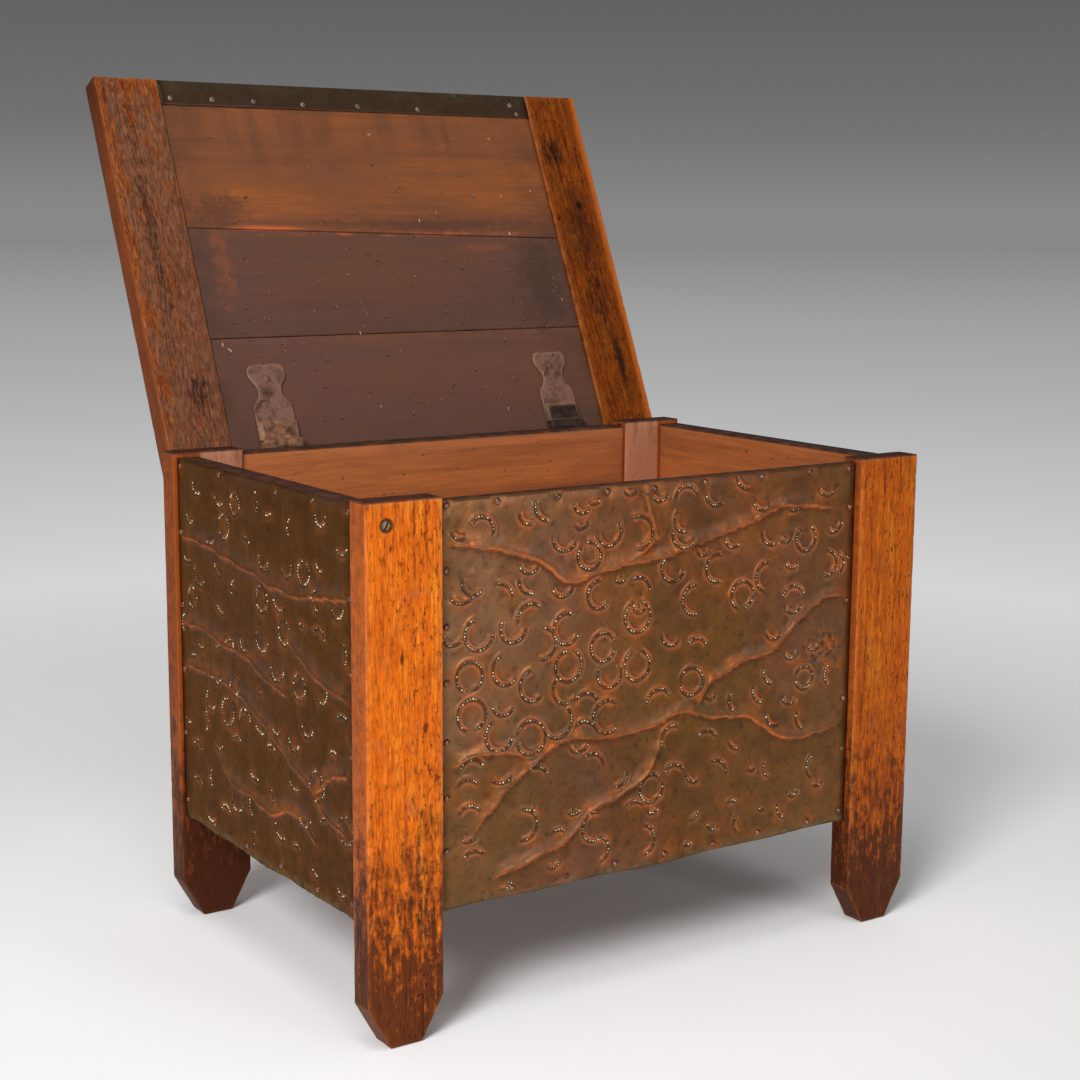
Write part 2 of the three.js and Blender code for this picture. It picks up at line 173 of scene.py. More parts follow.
def floor_material():
    """A floor that takes shadows near the bin, and further off shines in the greys of the backdrop."""
    material, own = new_material("studio_floor")
    tree = material.node_tree
    distance = Share(add_node(tree, "ShaderNodeVectorMath", {0: own}, operation="LENGTH").outputs["Value"])
    colour = ramp(distance / (distance + floor_bend), floor_levels)
    near = add_node(tree, "ShaderNodeBsdfDiffuse", {"Color": colour}).outputs[0]
    far = add_node(tree, "ShaderNodeEmission", {"Color": colour}).outputs[0]
    away = distance.between(shadow_fades_from, shadow_fades_to, how="SMOOTHSTEP")
    mixed = add_node(tree, "ShaderNodeMixShader", {0: away * seen_by_camera(tree), 1: near, 2: far})
    add_node(tree, "ShaderNodeOutputMaterial", {0: mixed.outputs[0]})
    return material


def make_floor():
    mesh = bpy.data.meshes.new("studio_floor")
    corners = [(x * floor_reach, y * floor_reach, -floor_depth)
               for x, y in ((-1, -1), (1, -1), (1, 1), (-1, 1))]
    mesh.from_pydata(corners, [], [(0, 1, 2, 3)])
    mesh.materials.append(floor_material())
    placed("studio_floor", mesh)


def make_world():
    """The grey backdrop that the camera sees, and the even light that falls from all sides."""
    world = bpy.data.worlds.new("studio")
    world.use_nodes = True
    tree = world.node_tree
    tree.nodes.clear()
    place = add_node(tree, "ShaderNodeTexCoord").outputs["Generated"]
    height = Share(add_node(tree, "ShaderNodeSeparateXYZ", {0: place}).outputs["Z"])
    colour = ramp(height / sky_top, sky_levels)
    sky = add_node(tree, "ShaderNodeBackground", {"Color": colour}).outputs[0]
    even = add_node(tree, "ShaderNodeBackground", {"Color": (1, 1, 1, 1), "Strength": even_light}).outputs[0]
    mixed = add_node(tree, "ShaderNodeMixShader", {0: seen_by_camera(tree), 1: even, 2: sky})
    add_node(tree, "ShaderNodeOutputWorld", {0: mixed.outputs[0]})
    bpy.context.scene.world = world


bpy.context.scene.view_settings.view_transform = "Standard"
make_camera()
make_floor()
make_world()
for name, (place, size, power) in lamps.items():
    lamp = placed(name, bpy.data.lights.new(name, "AREA"))
    lamp.data.shape = "DISK"
    lamp.data.size = size
    lamp.data.energy = power
    lamp.location = place
    lamp.rotation_mode = "QUATERNION"
    lamp.rotation_quaternion = (lamp_aim - Vector(place)).to_track_quat("-Z", "Y")


# The corner posts: inch thick oak planks, sawn, with both lower corners cut off, varnished orange.
# Their arrises are rubbed pale, their tops are black with handling, their feet are stained by wet hearths.
def tint(red, green, blue):
    """A colour as it looks on a screen, 0 to 255, as the linear colour that shaders take."""
    def linear(level):
        share = level / 255
        return share / 12.92 if share <= 0.04045 else ((share + 0.055) / 1.055) ** 2.4
    return (linear(red), linear(green), linear(blue), 1.0)


def darker(colour, share):
    """A colour made darker by a share."""
    return tuple(level * share for level in colour[:3]) + (1.0,)


post_softness = 0.0011
post_cell = 0.007
arris_angle = 0.4
arris_reach = 0.0028
wave_scale, wave_depth = 24, 0.00025
chip_scale, chip_depth = 110, 0.0011
oak_pale = tint(250, 144, 30)
oak_mid = tint(230, 108, 10)
oak_deep = tint(142, 58, 12)
oak_pore = tint(66, 26, 8)
oak_stain = tint(40, 18, 10)
oak_rubbed = tint(236, 142, 78)
oak_scuff = tint(176, 112, 84)
oak_edge_brown = tint(176, 86, 30)
oak_edge_dark = tint(84, 40, 18)
oak_top = tint(46, 34, 34)
inner_brown = tint(192, 130, 98)
post_tones = {
    "post_front_left": 0.97,
    "post_back_left": 0.5,
    "post_front_right": 0.62,
    "post_back_right": 0.62,
}
wall_inside = 0.028
wall_foot = 0.112
stain_height = 0.29
handled_height = 0.030
screw_from_edge = 0.0207
screw_from_top = 0.020
screw_grime_and_shade = (0.0069, 0.02, 0.0069)
pocket_width = 0.0116
pocket_depth = 0.0022
low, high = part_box("post_front_left")
screw_place = Vector((low.x + screw_from_edge, low.y, high.z - screw_from_top))
facing_front = Matrix.Translation(screw_place) @ Matrix.Rotation(math.radians(90), 4, "X")


def stretched(own, *scale):
    """The place on a piece, scaled along each axis, so that a pattern on it runs along the smallest one."""
    return add_node(own.id_data, "ShaderNodeMapping", {"Vector": own, "Scale": scale}).outputs[0]


def cloud(place, scale, detail, rough, low, high, seed):
    """Noise of a given scale, spread so that its low level is 0 and its high level is 1."""
    tree = place.id_data
    shift = (seed, seed * 0.7, seed * 1.3)
    moved = add_node(tree, "ShaderNodeVectorMath", {0: place, 1: shift}, operation="ADD").outputs[0]
    field = add_node(tree, "ShaderNodeTexNoise", {
        "Vector": moved, "Scale": scale, "Detail": detail, "Roughness": rough})
    return Share(field.outputs["Fac"]).between(low, high)


def level(own, axis):
    """The place on a piece along one axis of its own frame."""
    return Share(add_node(own.id_data, "ShaderNodeSeparateXYZ", {0: own}).outputs[axis])


def slab(own, axis, clear, full):
    """1 past one level of an axis of the piece's own frame, falling to 0 at another level."""
    return level(own, axis).between(clear, full)


def spot(own, centre, reach, ragged, seed):
    """A ragged patch round a place of the piece's own frame: 1 at its middle, 0 past its reach."""
    tree = own.id_data
    near_it = add_node(tree, "ShaderNodeMapping", {
        "Vector": own, "Location": centre, "Scale": reach}, vector_type="TEXTURE").outputs[0]
    away = Share(add_node(tree, "ShaderNodeVectorMath", {0: near_it}, operation="LENGTH").outputs["Value"])
    away += cloud(own, 90, 4, 0.7, 0.25, 0.75, seed) * ragged
    return away.between(1.0 + ragged / 2, 0.35 + ragged / 2)


def attribute(own, key):
    """A number that the mesh keeps at each of its points."""
    return Share(add_node(own.id_data, "ShaderNodeAttribute", attribute_name=key).outputs["Fac"])


def blend(share, first, second):
    """Two colours blended by a share."""
    mix = add_node(share.socket.id_data, "ShaderNodeMix", {
        "Factor": share, 6: first, 7: second}, data_type="RGBA")
    return mix.outputs[2]


def coated(colour, layers):
    """A colour under layers. Each is the share in which it covers, and its own colour."""
    for share, shade in layers:
        colour = blend(share, colour, shade)
    return colour


def bumped(height, strength, depth):
    """The direction of a surface that is a little uneven."""
    given = {"Height": height, "Strength": strength, "Distance": depth}
    return add_node(height.socket.id_data, "ShaderNodeBump", given).outputs[0]


def shaded(material, inputs):
    """Ends a material with its shader."""
    shader = add_node(material.node_tree, "ShaderNodeBsdfPrincipled", inputs)
    add_node(material.node_tree, "ShaderNodeOutputMaterial", {0: shader.outputs[0]})
    return material


def stand_for(piece, node, body):
    """Puts a dressed piece in the place of its solid."""
    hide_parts(node)
    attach(piece, body)


def worn_plank(name, node, soft, cell, turn=Matrix(), rough_share=1.0):
    """A copy of a node with rubbed arrises and faces divided into cells, in its own frame.
    The attribute arris is 1 on an arris and falls to 0 a few millimetres away."""
    plank = bmesh.new()
    plank.from_mesh(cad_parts[node].data)
    bmesh.ops.remove_doubles(plank, verts=plank.verts, dist=1e-5)
    plank.transform(turn.inverted())
    bmesh.ops.dissolve_limit(plank, angle_limit=math.radians(1), verts=plank.verts, edges=plank.edges)
    sharp = [edge for edge in plank.edges if edge.is_manifold and edge.calc_face_angle() > arris_angle]
    starts = np.array([edge.verts[0].co[:] for edge in sharp])
    ends = np.array([edge.verts[1].co[:] for edge in sharp])
    bmesh.ops.bevel(plank, geom=sharp, offset=soft, segments=2, profile=0.5, affect="EDGES")
    places = np.array([vertex.co[:] for vertex in plank.verts])
    for axis in range(3):
        low, high = places[:, axis].min(), places[:, axis].max()
        count = int((high - low) / cell)
        normal = Vector([float(axis == other) for other in range(3)])
        for index in range(1, count):
            cut = normal * (low + (high - low) * index / count)
            geometry = plank.verts[:] + plank.edges[:] + plank.faces[:]
            bmesh.ops.bisect_plane(plank, geom=geometry, plane_co=cut, plane_no=normal, dist=1e-6)
    places = np.array([vertex.co[:] for vertex in plank.verts])
    along = ends - starts
    length = np.maximum((along ** 2).sum(1), 1e-12)
    nearest = np.full(len(places), np.inf)
    for start, run, square in zip(starts, along, length):
        share = np.clip(((places - start) @ run) / square, 0, 1)
        nearest = np.minimum(nearest, np.linalg.norm(places - start - share[:, None] * run, axis=1))
    arris = np.clip(1 - (nearest - soft * 0.4) / arris_reach, 0, 1)
    plank.normal_update()
    for vertex, closeness in zip(plank.verts, arris):
        wave = noise.noise(vertex.co * wave_scale) * 0.5 + 0.5
        chip = max(0.0, noise.noise(vertex.co * chip_scale) - 0.1) * closeness ** 3
        vertex.co -= vertex.normal * rough_share * (wave_depth * wave + chip_depth * chip)
    plank.transform(turn)
    mesh = bpy.data.meshes.new(name)
    plank.to_mesh(mesh)
    plank.free()
    mesh.polygons.foreach_set("use_smooth", [True] * len(mesh.polygons))
    mesh.attributes.new("arris", "FLOAT", "POINT").data.foreach_set("value", arris.astype(np.float32))
    return placed(name, mesh)


def oak(name, turn, grain, tone, wear, seed):
    """Varnished oak of a given brightness. The grain is the axis it runs along, and wear gives the layers
    of dirt and handling over it, as shares and colours."""
    material, own = new_material(name, turn)
    pale, mid, deep, pore_shade = (darker(shade, tone) for shade in (oak_pale, oak_mid, oak_deep, oak_pore))
    along, short, brief = (stretched(own, *(share if axis == grain else 1.0 for axis in range(3)))
                           for share in (0.05, 0.16, 0.40))
    figure = cloud(along, 190, 4, 0.65, 0.34, 0.66, seed)
    fibre = cloud(short, 560, 4, 0.7, 0.42, 0.64, seed + 3)
    pore = cloud(brief, 430, 2, 0.5, 0.60, 0.66, seed + 5)
    band = cloud(along, 30, 3, 0.6, 0.35, 0.60, seed + 6)
    layers = wear(own, along)
    colour = coated(ramp(figure, [(0.0, deep), (0.30, mid), (0.62, mid), (1.0, pale)]), [
        (fibre * 0.60, deep),
        (cloud(short, 420, 3, 0.6, 0.52, 0.70, seed + 4) * 0.50, pale),
        (pore * (band * 0.45 + 0.25), pore_shade),
        (cloud(own, 18, 5, 0.65, 0.50, 0.78, seed + 7) * 0.60, deep),
        (cloud(own, 40, 5, 0.75, 0.56, 0.70, seed + 10) * 0.30, darker(oak_scuff, tone)),
        (cloud(brief, 130, 2, 0.5, 0.70, 0.75, seed + 8) * 0.75, pore_shade),
        *layers,
    ])
    stained = layers[0][0]
    for share, _ in layers[1:]:
        stained = stained.most(share)
    rubbed = attribute(own, "arris") ** 3.0 * cloud(own, 60, 4, 0.65, 0.32, 0.55, seed + 9)
    rubbed *= stained * -0.85 + 0.9
    return shaded(material, {
        "Base Color": blend(rubbed, colour, darker(oak_rubbed, 0.25 + 0.75 * tone)),
        "Normal": bumped(fibre * -0.7 + pore * -1.0, 0.6, 0.0004),
        "Specular IOR Level": 0.1,
        "Roughness": fibre.between(0, 1, 0.42, 0.62),
    })


def cut_pocket(piece, place, width, depth):
    """Sinks a round pocket into a piece, at a place whose Z looks out of its face."""
    borer = bmesh.new()
    bmesh.ops.create_cone(borer, cap_ends=True, segments=32, radius1=width / 2, radius2=width / 2,
                          depth=2 * depth, matrix=place)
    mesh = bpy.data.meshes.new("borer")
    borer.to_mesh(mesh)
    borer.free()
    tool = bpy.data.objects.new("borer", mesh)
    bpy.context.scene.collection.objects.link(tool)
    cut = piece.modifiers.new("pocket", "BOOLEAN")
    cut.operation = "DIFFERENCE"
    cut.object = tool
    bpy.context.view_layer.update()
    whole = bpy.data.meshes.new_from_object(piece.evaluated_get(bpy.context.evaluated_depsgraph_get()))
    piece.modifiers.remove(cut)
    bpy.data.objects.remove(tool)
    piece.data = whole


def post_wear(node, tone):
    """The layers of one post: brown edge faces and inner face, a black top, grime and painted shade in a ring
    round the screw's pocket, and stain that climbs the foot in tongues along the grain."""
    low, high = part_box(node)
    front = "front" in node
    brown, dark = (darker(shade, 0.35 + 0.65 * tone) for shade in (oak_edge_brown, oak_edge_dark))

    def wear(own, along):
        mottle = cloud(own, 90, 6, 0.8, 0.38, 0.64, 13)
        layers = []
        for face, inward in ((low.x, 1), (high.x, -1)):
            edge = slab(own, "X", face + inward * 0.0010, face + inward * 0.0004)
            layers += [(edge * 0.8, brown), (edge * mottle * 0.6, dark)]
        hidden, inward = (high.y, -1) if front else (low.y, 1)
        back = slab(own, "Y", hidden + inward * 0.0014, hidden + inward * 0.0006)
        layers.append((back * 0.9, brown))
        if not front:
            side, inward = (low.x, 1) if "left" in node else (high.x, -1)
            past_wall = slab(own, "X", side + inward * wall_inside, side + inward * (wall_inside + 0.002))
            above_floor = slab(own, "Z", wall_foot, wall_foot + 0.004)
            layers.append((back * past_wall * above_floor * 0.95, inner_brown))
        handled = slab(own, "Z", high.z - handled_height, high.z)
        layers.append((slab(own, "Z", high.z - 0.0022, high.z - 0.0008) * 0.92, oak_top))
        layers.append((handled * cloud(along, 90, 4, 0.65, 0.45, 0.70, 15) * 0.75, oak_stain))
        if node == "post_front_left":
            # Grime, and the painted shade of the screw's pocket, in a dark ring round the screw
            layers.append((spot(own, screw_place, screw_grime_and_shade, 0.12, 16) ** 0.3 * 0.85, oak_stain))
        tongues = cloud(along, 80, 4, 0.7, 0.30, 0.70, 11)
        fine = cloud(stretched(own, 1, 1, 0.35), 150, 4, 0.7, 0.35, 0.65, 17)
        reach = slab(own, "Z", stain_height, 0.0) + (tongues * 0.45 + mottle * 0.30 + fine * 0.45) * 0.9
        layers.append((reach.between(0.86, 1.25, 0.0, 0.85), oak_stain))
        return layers
    return wear


for node, tone in post_tones.items():
    post = worn_plank("oak_" + node, node, post_softness, post_cell)
    if node == "post_front_left":
        cut_pocket(post, facing_front, pocket_width, pocket_depth)
    post.data.materials.append(oak(node + "_oak", Matrix(), 2, tone, post_wear(node, tone), len(node)))
    stand_for(post, node, "box")


# The walls: two softwood boards to a wall, tongued into the posts at the front and back, nailed up between
# the posts at the sides. They are stained brown inside, and their top edges are black with coal and
# handling.
board_softness = 0.0012
board_cell = 0.012
board_tan = tint(196, 112, 58)
board_brown = tint(160, 90, 48)
board_grey = tint(120, 74, 54)
board_speck = tint(38, 24, 20)
board_soot = tint(34, 26, 26)
board_rubbed = tint(176, 112, 78)
right_wall_tone = 0.8
across_the_bin = Matrix.Rotation(math.radians(90), 4, "Z")


def softwood(name, turn, shades, seed, layers=None, worn=0.5, flecked=0.75):
    """Brown stained softwood with its grain along X, grey with dust in patches and flecked with coal."""
    material, own = new_material(name, turn)
    tan, brown, grey = shades
    along = stretched(own, 0.05, 1, 1)
    figure = cloud(along, 55, 5, 0.6, 0.30, 0.70, seed)
    fibre = cloud(along, 520, 3, 0.6, 0.42, 0.68, seed + 3)
    dust = cloud(stretched(own, 0.3, 1, 1), 9, 5, 0.6, 0.40, 0.66, seed + 7)
    speck = cloud(own, 210, 2, 0.5, 0.66, 0.72, seed + 5)
    rub = attribute(own, "arris") * cloud(own, 70, 4, 0.65, 0.45, 0.65, seed + 9)
    colour = coated(ramp(figure, [(0.0, brown), (0.5, tan), (1.0, brown)]), [
        (fibre * 0.30, grey),
        (dust * 0.65, grey),
        (speck * flecked, board_speck),
        *(layers(own) if layers else []),
        (rub * worn, board_rubbed),
    ])
    return shaded(material, {
        "Base Color": colour,
        "Normal": bumped(fibre * -0.5 + speck * -1.0, 0.5, 0.0003),
        "Specular IOR Level": 0.2,
        "Roughness": dust.between(0, 1, 0.5, 0.68),
    })


def softwood_board(node, body, frame_turn, grain_turn, *finish):
    """One softwood board, worn and dressed in the place of its solid."""
    board = worn_plank("softwood_" + node, node, board_softness, board_cell, frame_turn)
    board.data.materials.append(softwood(node + "_softwood", grain_turn, *finish))
    stand_for(board, node, body)


def black_rim(own):
    """The top edge of a wall, and a little of its faces under it, black with coal."""
    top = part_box("front_board_upper")[1].z
    return [(slab(own, "Z", top - 0.0032, top - 0.0012) * 0.94, board_soot)]


for wall in ("front", "back", "left", "right"):
    beside = wall in ("left", "right")
    tone = right_wall_tone if wall == "right" else 1.0
    shades = [darker(shade, tone) for shade in (board_tan, board_brown, board_grey)]
    for height in ("lower", "upper"):
        node = wall + "_board_" + height
        softwood_board(node, "box", Matrix(), across_the_bin if beside else Matrix(), shades,
                       len(node) + 2.3 * beside, black_rim, 0.2)


# The floor: three softwood boards from side to side, lying on a cleat along each side wall. They were never
# finished, and are grey with coal dust.
floor_shades = (tint(104, 74, 54), tint(80, 56, 44), tint(48, 40, 38))
for end in ("front", "middle", "back"):
    node = "floor_board_" + end
    softwood_board(node, "box", Matrix(), Matrix(), floor_shades, len(node))
for side in ("left", "right"):
    node = "floor_cleat_" + side
    softwood_board(node, "box", Matrix(), across_the_bin, floor_shades, len(node))


# The wall copper: a soft sheet nailed over the boards of the front and of each side. Veins were driven up
# from behind, and crescents and rings of small dots were punched in from the front. The metal has gone
# brown, bare where it stands up, and green where it has stayed wet. Light is painted into its colour as
# well: a glint on slopes that look down, a sheen on slopes that look up, shade at the foot of the marks and
# beside the posts, and on the front a pink sheen and fawn light.
sheet_thickness = 0.001
wall_sheet_height = 0.3569
lower_edge_wave = 0.0016
wave_reach = 0.02
fine_cell = 0.00096
cells_across_coarse = 3
vein_height = 0.0026
vein_slope = 0.014
vein_drop = 0.0034
vein_crest = 0.0018
vein_wander = 0.0016
vein_reach = 0.02
groove_depth = 0.0009
groove_half_width = 0.0012
rim_inside = 0.0009
rim_outside = 0.0005
rim_distance = 0.0029
rim_half_width = 0.0013
sheet_lift = 0.0006
lowest_relief = -0.00075
# Swells of a sheet: the height and the pitch of each
sheet_swells = ((0.00026, 0.055), (0.00028, 0.016))
pit_swells = ((0.0008, 0.0046), (0.0004, 0.0024))
skin_height, skin_pitch = 0.00008, 0.007
dents_per_area = 1300
dent_depth = 0.0005
dent_reaches = (0.0025, 0.0065)
crumple_height, crumple_pitch = 0.0011, 0.010
rim_fade = 0.006
foot_reach = 0.012
dot_pitch = 0.0029
dot_width = 0.0016
dot_rise = 0.0008
nail_width = 0.0062
nail_rise = 0.0016
nail_dent = 0.0007
nail_dent_reach = 0.0045
side_crescent_spacing = 0.031
copper_brown = tint(107, 71, 41)
copper_gold = tint(112, 78, 40)
copper_plum = tint(114, 76, 56)
copper_pink_sheen = tint(164, 122, 92)
copper_fawn_light = tint(134, 98, 62)
copper_glow = tint(168, 100, 44)
copper_bare = tint(216, 116, 62)
copper_worn = tint(170, 92, 44)
copper_rust = tint(158, 86, 40)
copper_dust_and_sheen = tint(158, 122, 104)
copper_dark = tint(44, 30, 22)
copper_green = tint(92, 98, 74)
copper_shade = tint(80, 50, 28)
copper_glint = tint(255, 206, 168)
dot_pale = tint(226, 222, 186)
dot_green = tint(112, 116, 88)
dot_dark = tint(58, 50, 34)
nail_dark = tint(70, 50, 42)
nail_bright = tint(168, 118, 92)
# A rough pitted patch of the front: its middle as shares of the sheet, and its reach as a share of the
# width
front_pit_shares = (0.93, 0.5, 0.075)
# A vein is a run of shares of the sheet's width and height
front_vein_shares = [
    [(0.02, 0.9), (0.13, 0.87), (0.22, 0.83), (0.285, 0.775), (0.35, 0.79), (0.43, 0.81), (0.49, 0.855)],
    [(0.3, 0.778), (0.4, 0.8), (0.51, 0.81), (0.6, 0.84), (0.7, 0.865), (0.79, 0.9), (0.87, 0.905),
     (0.95, 0.88)],
    [(0.46, 0.97), (0.475, 0.9), (0.49, 0.85)],
    [(0.06, 0.17), (0.11, 0.235), (0.18, 0.31), (0.28, 0.375), (0.38, 0.365), (0.48, 0.375), (0.56, 0.397),
     (0.64, 0.367), (0.73, 0.35), (0.8, 0.29), (0.89, 0.268), (0.98, 0.295)],
    [(0.03, 0.357), (0.1, 0.377), (0.16, 0.365), (0.23, 0.35)],
    [(0.59, 0.4), (0.62, 0.455), (0.7, 0.5), (0.79, 0.525), (0.86, 0.6), (0.92, 0.64), (0.98, 0.642)],
    [(0.12, 0.06), (0.2, 0.085), (0.28, 0.115), (0.34, 0.18), (0.42, 0.21), (0.48, 0.265), (0.505, 0.33)],
]
side_vein_shares = [
    [(0.02, 0.79), (0.15, 0.79), (0.3, 0.775), (0.45, 0.76), (0.56, 0.74), (0.7, 0.74), (0.84, 0.755),
     (0.97, 0.775)],
    [(0.02, 0.55), (0.13, 0.56), (0.26, 0.54), (0.4, 0.535), (0.52, 0.5), (0.64, 0.475)],
    [(0.02, 0.43), (0.15, 0.44), (0.3, 0.435), (0.43, 0.41), (0.56, 0.36), (0.68, 0.305), (0.79, 0.265),
     (0.87, 0.215), (0.96, 0.195)],
    [(0.8, 0.265), (0.86, 0.315), (0.96, 0.35)],
    [(0.24, 0.24), (0.31, 0.18), (0.44, 0.165), (0.55, 0.15), (0.68, 0.185), (0.8, 0.14)],
    [(0.66, 0.62), (0.74, 0.585), (0.83, 0.55), (0.97, 0.53)],
]
# A crescent is its middle as shares of the sheet, its radius in millimetres, and the direction of the
# middle of its arc and the arc's whole turn, in degrees
front_crescent_shares = [
    (0.425, 1, 10, -90, 90), (0.715, 1, 15, -125, 90), (0.34, 0.98, 8, -85, 90),
    (0.495, 0.98, 11, -90, 100), (0.235, 0.965, 13, -140, 110), (0.315, 0.965, 10, -110, 120),
    (0.635, 0.96, 13, -110, 110), (0.925, 0.96, 14, -90, 100), (0.195, 0.955, 11, -120, 100),
    (0.56, 0.945, 13, 100, 160), (0.045, 0.93, 9, -110, 110), (0.75, 0.93, 11, -95, 120),
    (0.31, 0.925, 9, -80, 100), (0.09, 0.92, 12, 65, 170), (0.835, 0.92, 11, -95, 70),
    (0.555, 0.895, 11, -150, 160), (0.275, 0.885, 13, -105, 150), (0.375, 0.885, 13, -70, 200),
    (0.445, 0.875, 15, 10, 220), (0.555, 0.86, 13, -110, 160), (0.945, 0.85, 11, -70, 120),
    (0.68, 0.84, 11, -110, 120), (0.78, 0.84, 13, -120, 120), (0.195, 0.835, 11, -95, 120),
    (0.815, 0.835, 10, -90, 90), (0.33, 0.83, 12, -60, 330), (0.605, 0.825, 10, -90, 110),
    (0.87, 0.81, 12, -90, 300), (0.075, 0.8, 12, -120, 140), (0.05, 0.795, 16, -85, 100),
    (0.2, 0.79, 13, -130, 100), (0.405, 0.78, 9, -90, 90), (0.53, 0.775, 13, -120, 200),
    (0.27, 0.77, 12, -90, 130), (0.64, 0.76, 13, 180, 220), (0.835, 0.76, 9, -95, 110),
    (0.13, 0.75, 13, 50, 100), (0.93, 0.735, 12, -10, 200), (0.355, 0.73, 13, -160, 230),
    (0.955, 0.73, 10, 0, 150), (0.445, 0.725, 13, 60, 130), (0.77, 0.72, 14, 170, 170),
    (0.2, 0.69, 14, 120, 140), (0.45, 0.69, 7, -90, 200), (0.03, 0.685, 12, -100, 110),
    (0.585, 0.685, 14, 180, 200), (0.705, 0.68, 13, 90, 330), (0.16, 0.675, 13, -110, 200),
    (0.085, 0.67, 14, -130, 250), (0.445, 0.66, 14, -90, 330), (0.28, 0.655, 14, -160, 260),
    (0.84, 0.65, 13, 90, 150), (0.84, 0.65, 13, -90, 100), (0.225, 0.625, 14, -10, 190),
    (0.53, 0.61, 13, -110, 120), (0.365, 0.595, 13, 180, 320), (0.79, 0.58, 11, -100, 120),
    (0.145, 0.575, 14, -150, 200), (0.065, 0.57, 13, 90, 330), (0.285, 0.56, 14, -100, 330),
    (0.59, 0.55, 12, 80, 120), (0.445, 0.535, 14, -90, 330), (0.9, 0.53, 10, -90, 100),
    (0.205, 0.525, 14, -160, 220), (0.38, 0.525, 13, -90, 260), (0.84, 0.52, 11, -90, 110),
    (0.28, 0.505, 14, -130, 190), (0.14, 0.495, 12, -100, 130), (0.07, 0.475, 14, 90, 330),
    (0.58, 0.47, 13, 0, 330), (0.79, 0.46, 11, -150, 100), (0.325, 0.445, 14, 90, 130),
    (0.63, 0.44, 9, -90, 80), (0.875, 0.43, 11, 0, 330), (0.26, 0.425, 15, -60, 220),
    (0.5, 0.425, 14, 100, 140), (0.955, 0.425, 11, 180, 120), (0.13, 0.415, 14, -130, 220),
    (0.375, 0.415, 15, 180, 260), (0.765, 0.415, 12, -150, 110), (0.7, 0.4, 11, 190, 100),
    (0.2, 0.395, 15, 0, 330), (0.84, 0.395, 11, -95, 110), (0.32, 0.38, 12, 90, 110),
    (0.31, 0.37, 12, -90, 120), (0.8, 0.345, 12, -120, 110), (0.07, 0.33, 13, 90, 130),
    (0.135, 0.33, 13, -90, 100), (0.535, 0.325, 13, 140, 150), (0.88, 0.32, 11, -160, 110),
    (0.7, 0.3, 11, -130, 90), (0.62, 0.295, 13, 80, 110), (0.34, 0.29, 13, 60, 130),
    (0.06, 0.285, 12, 90, 110), (0.21, 0.28, 14, 70, 100), (0.4, 0.26, 12, -50, 100),
    (0.595, 0.23, 11, -115, 110), (0.54, 0.22, 13, 90, 110), (0.065, 0.215, 13, 90, 120),
    (0.645, 0.21, 13, 50, 130), (0.485, 0.205, 13, -150, 330), (0.065, 0.195, 12, -90, 80),
    (0.185, 0.175, 14, 0, 210), (0.915, 0.175, 12, 180, 130), (0.445, 0.145, 12, 90, 110),
    (0.35, 0.135, 14, 180, 220), (0.265, 0.115, 11, 90, 80), (0.075, 0.1, 13, 90, 100),
    (0.835, 0.08, 11, -150, 100), (0.355, 0.07, 13, 0, 150), (0.465, 0.07, 14, 0, 170),
    (0.72, 0.06, 11, 180, 110), (0.741, 0.218, 7, -90, 90), (0.49, 0.16, 8, -90, 100),
    (0.253, 0.074, 9, -80, 110), (0.588, 0.118, 7, -60, 120), (0.69, 0.111, 6, 90, 120),
    (0.578, 0.05, 7, -90, 100), (0.921, 0.14, 8, -90, 110), (0.853, 0.127, 8, -80, 120),
    (0.771, 0.1, 6, -90, 90), (0.205, 0.225, 6, -90, 60), (0.645, 0.08, 8, -110, 120),
    (0.14, 0.045, 9, -70, 110), (0.79, 0.2, 9, 200, 120), (0.3, 0.2, 8, -90, 110),
]
front_nail_shares = [
    (0.016, 0.988), (0.016, 0.834), (0.016, 0.698), (0.016, 0.563), (0.016, 0.419), (0.016, 0.281),
     (0.016, 0.149),
    (0.125, 0.985), (0.258, 0.983), (0.37, 0.985), (0.481, 0.982), (0.605, 0.985), (0.75, 0.984),
     (0.877, 0.985),
    (0.983, 0.985), (0.988, 0.88), (0.988, 0.743), (0.988, 0.626), (0.988, 0.351), (0.988, 0.209),
     (0.985, 0.03),
    (0.159, 0.02), (0.284, 0.018), (0.4, 0.022), (0.52, 0.02), (0.642, 0.018), (0.762, 0.02), (0.895, 0.02),
]
side_nail_shares = [
    (0.02, 0.98), (0.27, 0.985), (0.6, 0.98), (0.8, 0.985), (0.975, 0.98), (0.018, 0.8), (0.016, 0.6),
     (0.018, 0.42),
    (0.016, 0.24), (0.02, 0.05), (0.982, 0.78), (0.984, 0.6), (0.982, 0.4), (0.984, 0.22), (0.98, 0.04),
    (0.2, 0.025), (0.4, 0.022), (0.6, 0.025), (0.8, 0.022),
]


def run_through(points, pieces=8):
    """A smooth run through points: a Catmull-Rom curve whose knots follow the root of the points'
    distances."""
    points = np.array(points)
    ends = [2 * points[0] - points[1], *points, 2 * points[-1] - points[-2]]
    run = []
    for before, start, end, after in zip(ends, ends[1:], ends[2:], ends[3:]):
        first = np.linalg.norm(start - before) ** 0.5
        second = first + np.linalg.norm(end - start) ** 0.5
        third = second + np.linalg.norm(after - end) ** 0.5
        for knot in np.linspace(first, second, pieces, endpoint=False):
            rise = ((first - knot) * before + knot * start) / first
            middle = ((second - knot) * start + (knot - first) * end) / (second - first)
            fall = ((third - knot) * end + (knot - second) * after) / (third - second)
            low = ((second - knot) * rise + knot * middle) / second
            high = ((third - knot) * middle + (knot - first) * fall) / (third - first)
            run.append(((second - knot) * low + (knot - first) * high) / (second - first))
    return np.array(run + [points[-1]])


def eased(share):
    """A share held between 0 and 1 and rounded off at both ends."""
    share = np.clip(share, 0, 1)
    return share * share * (3 - 2 * share)


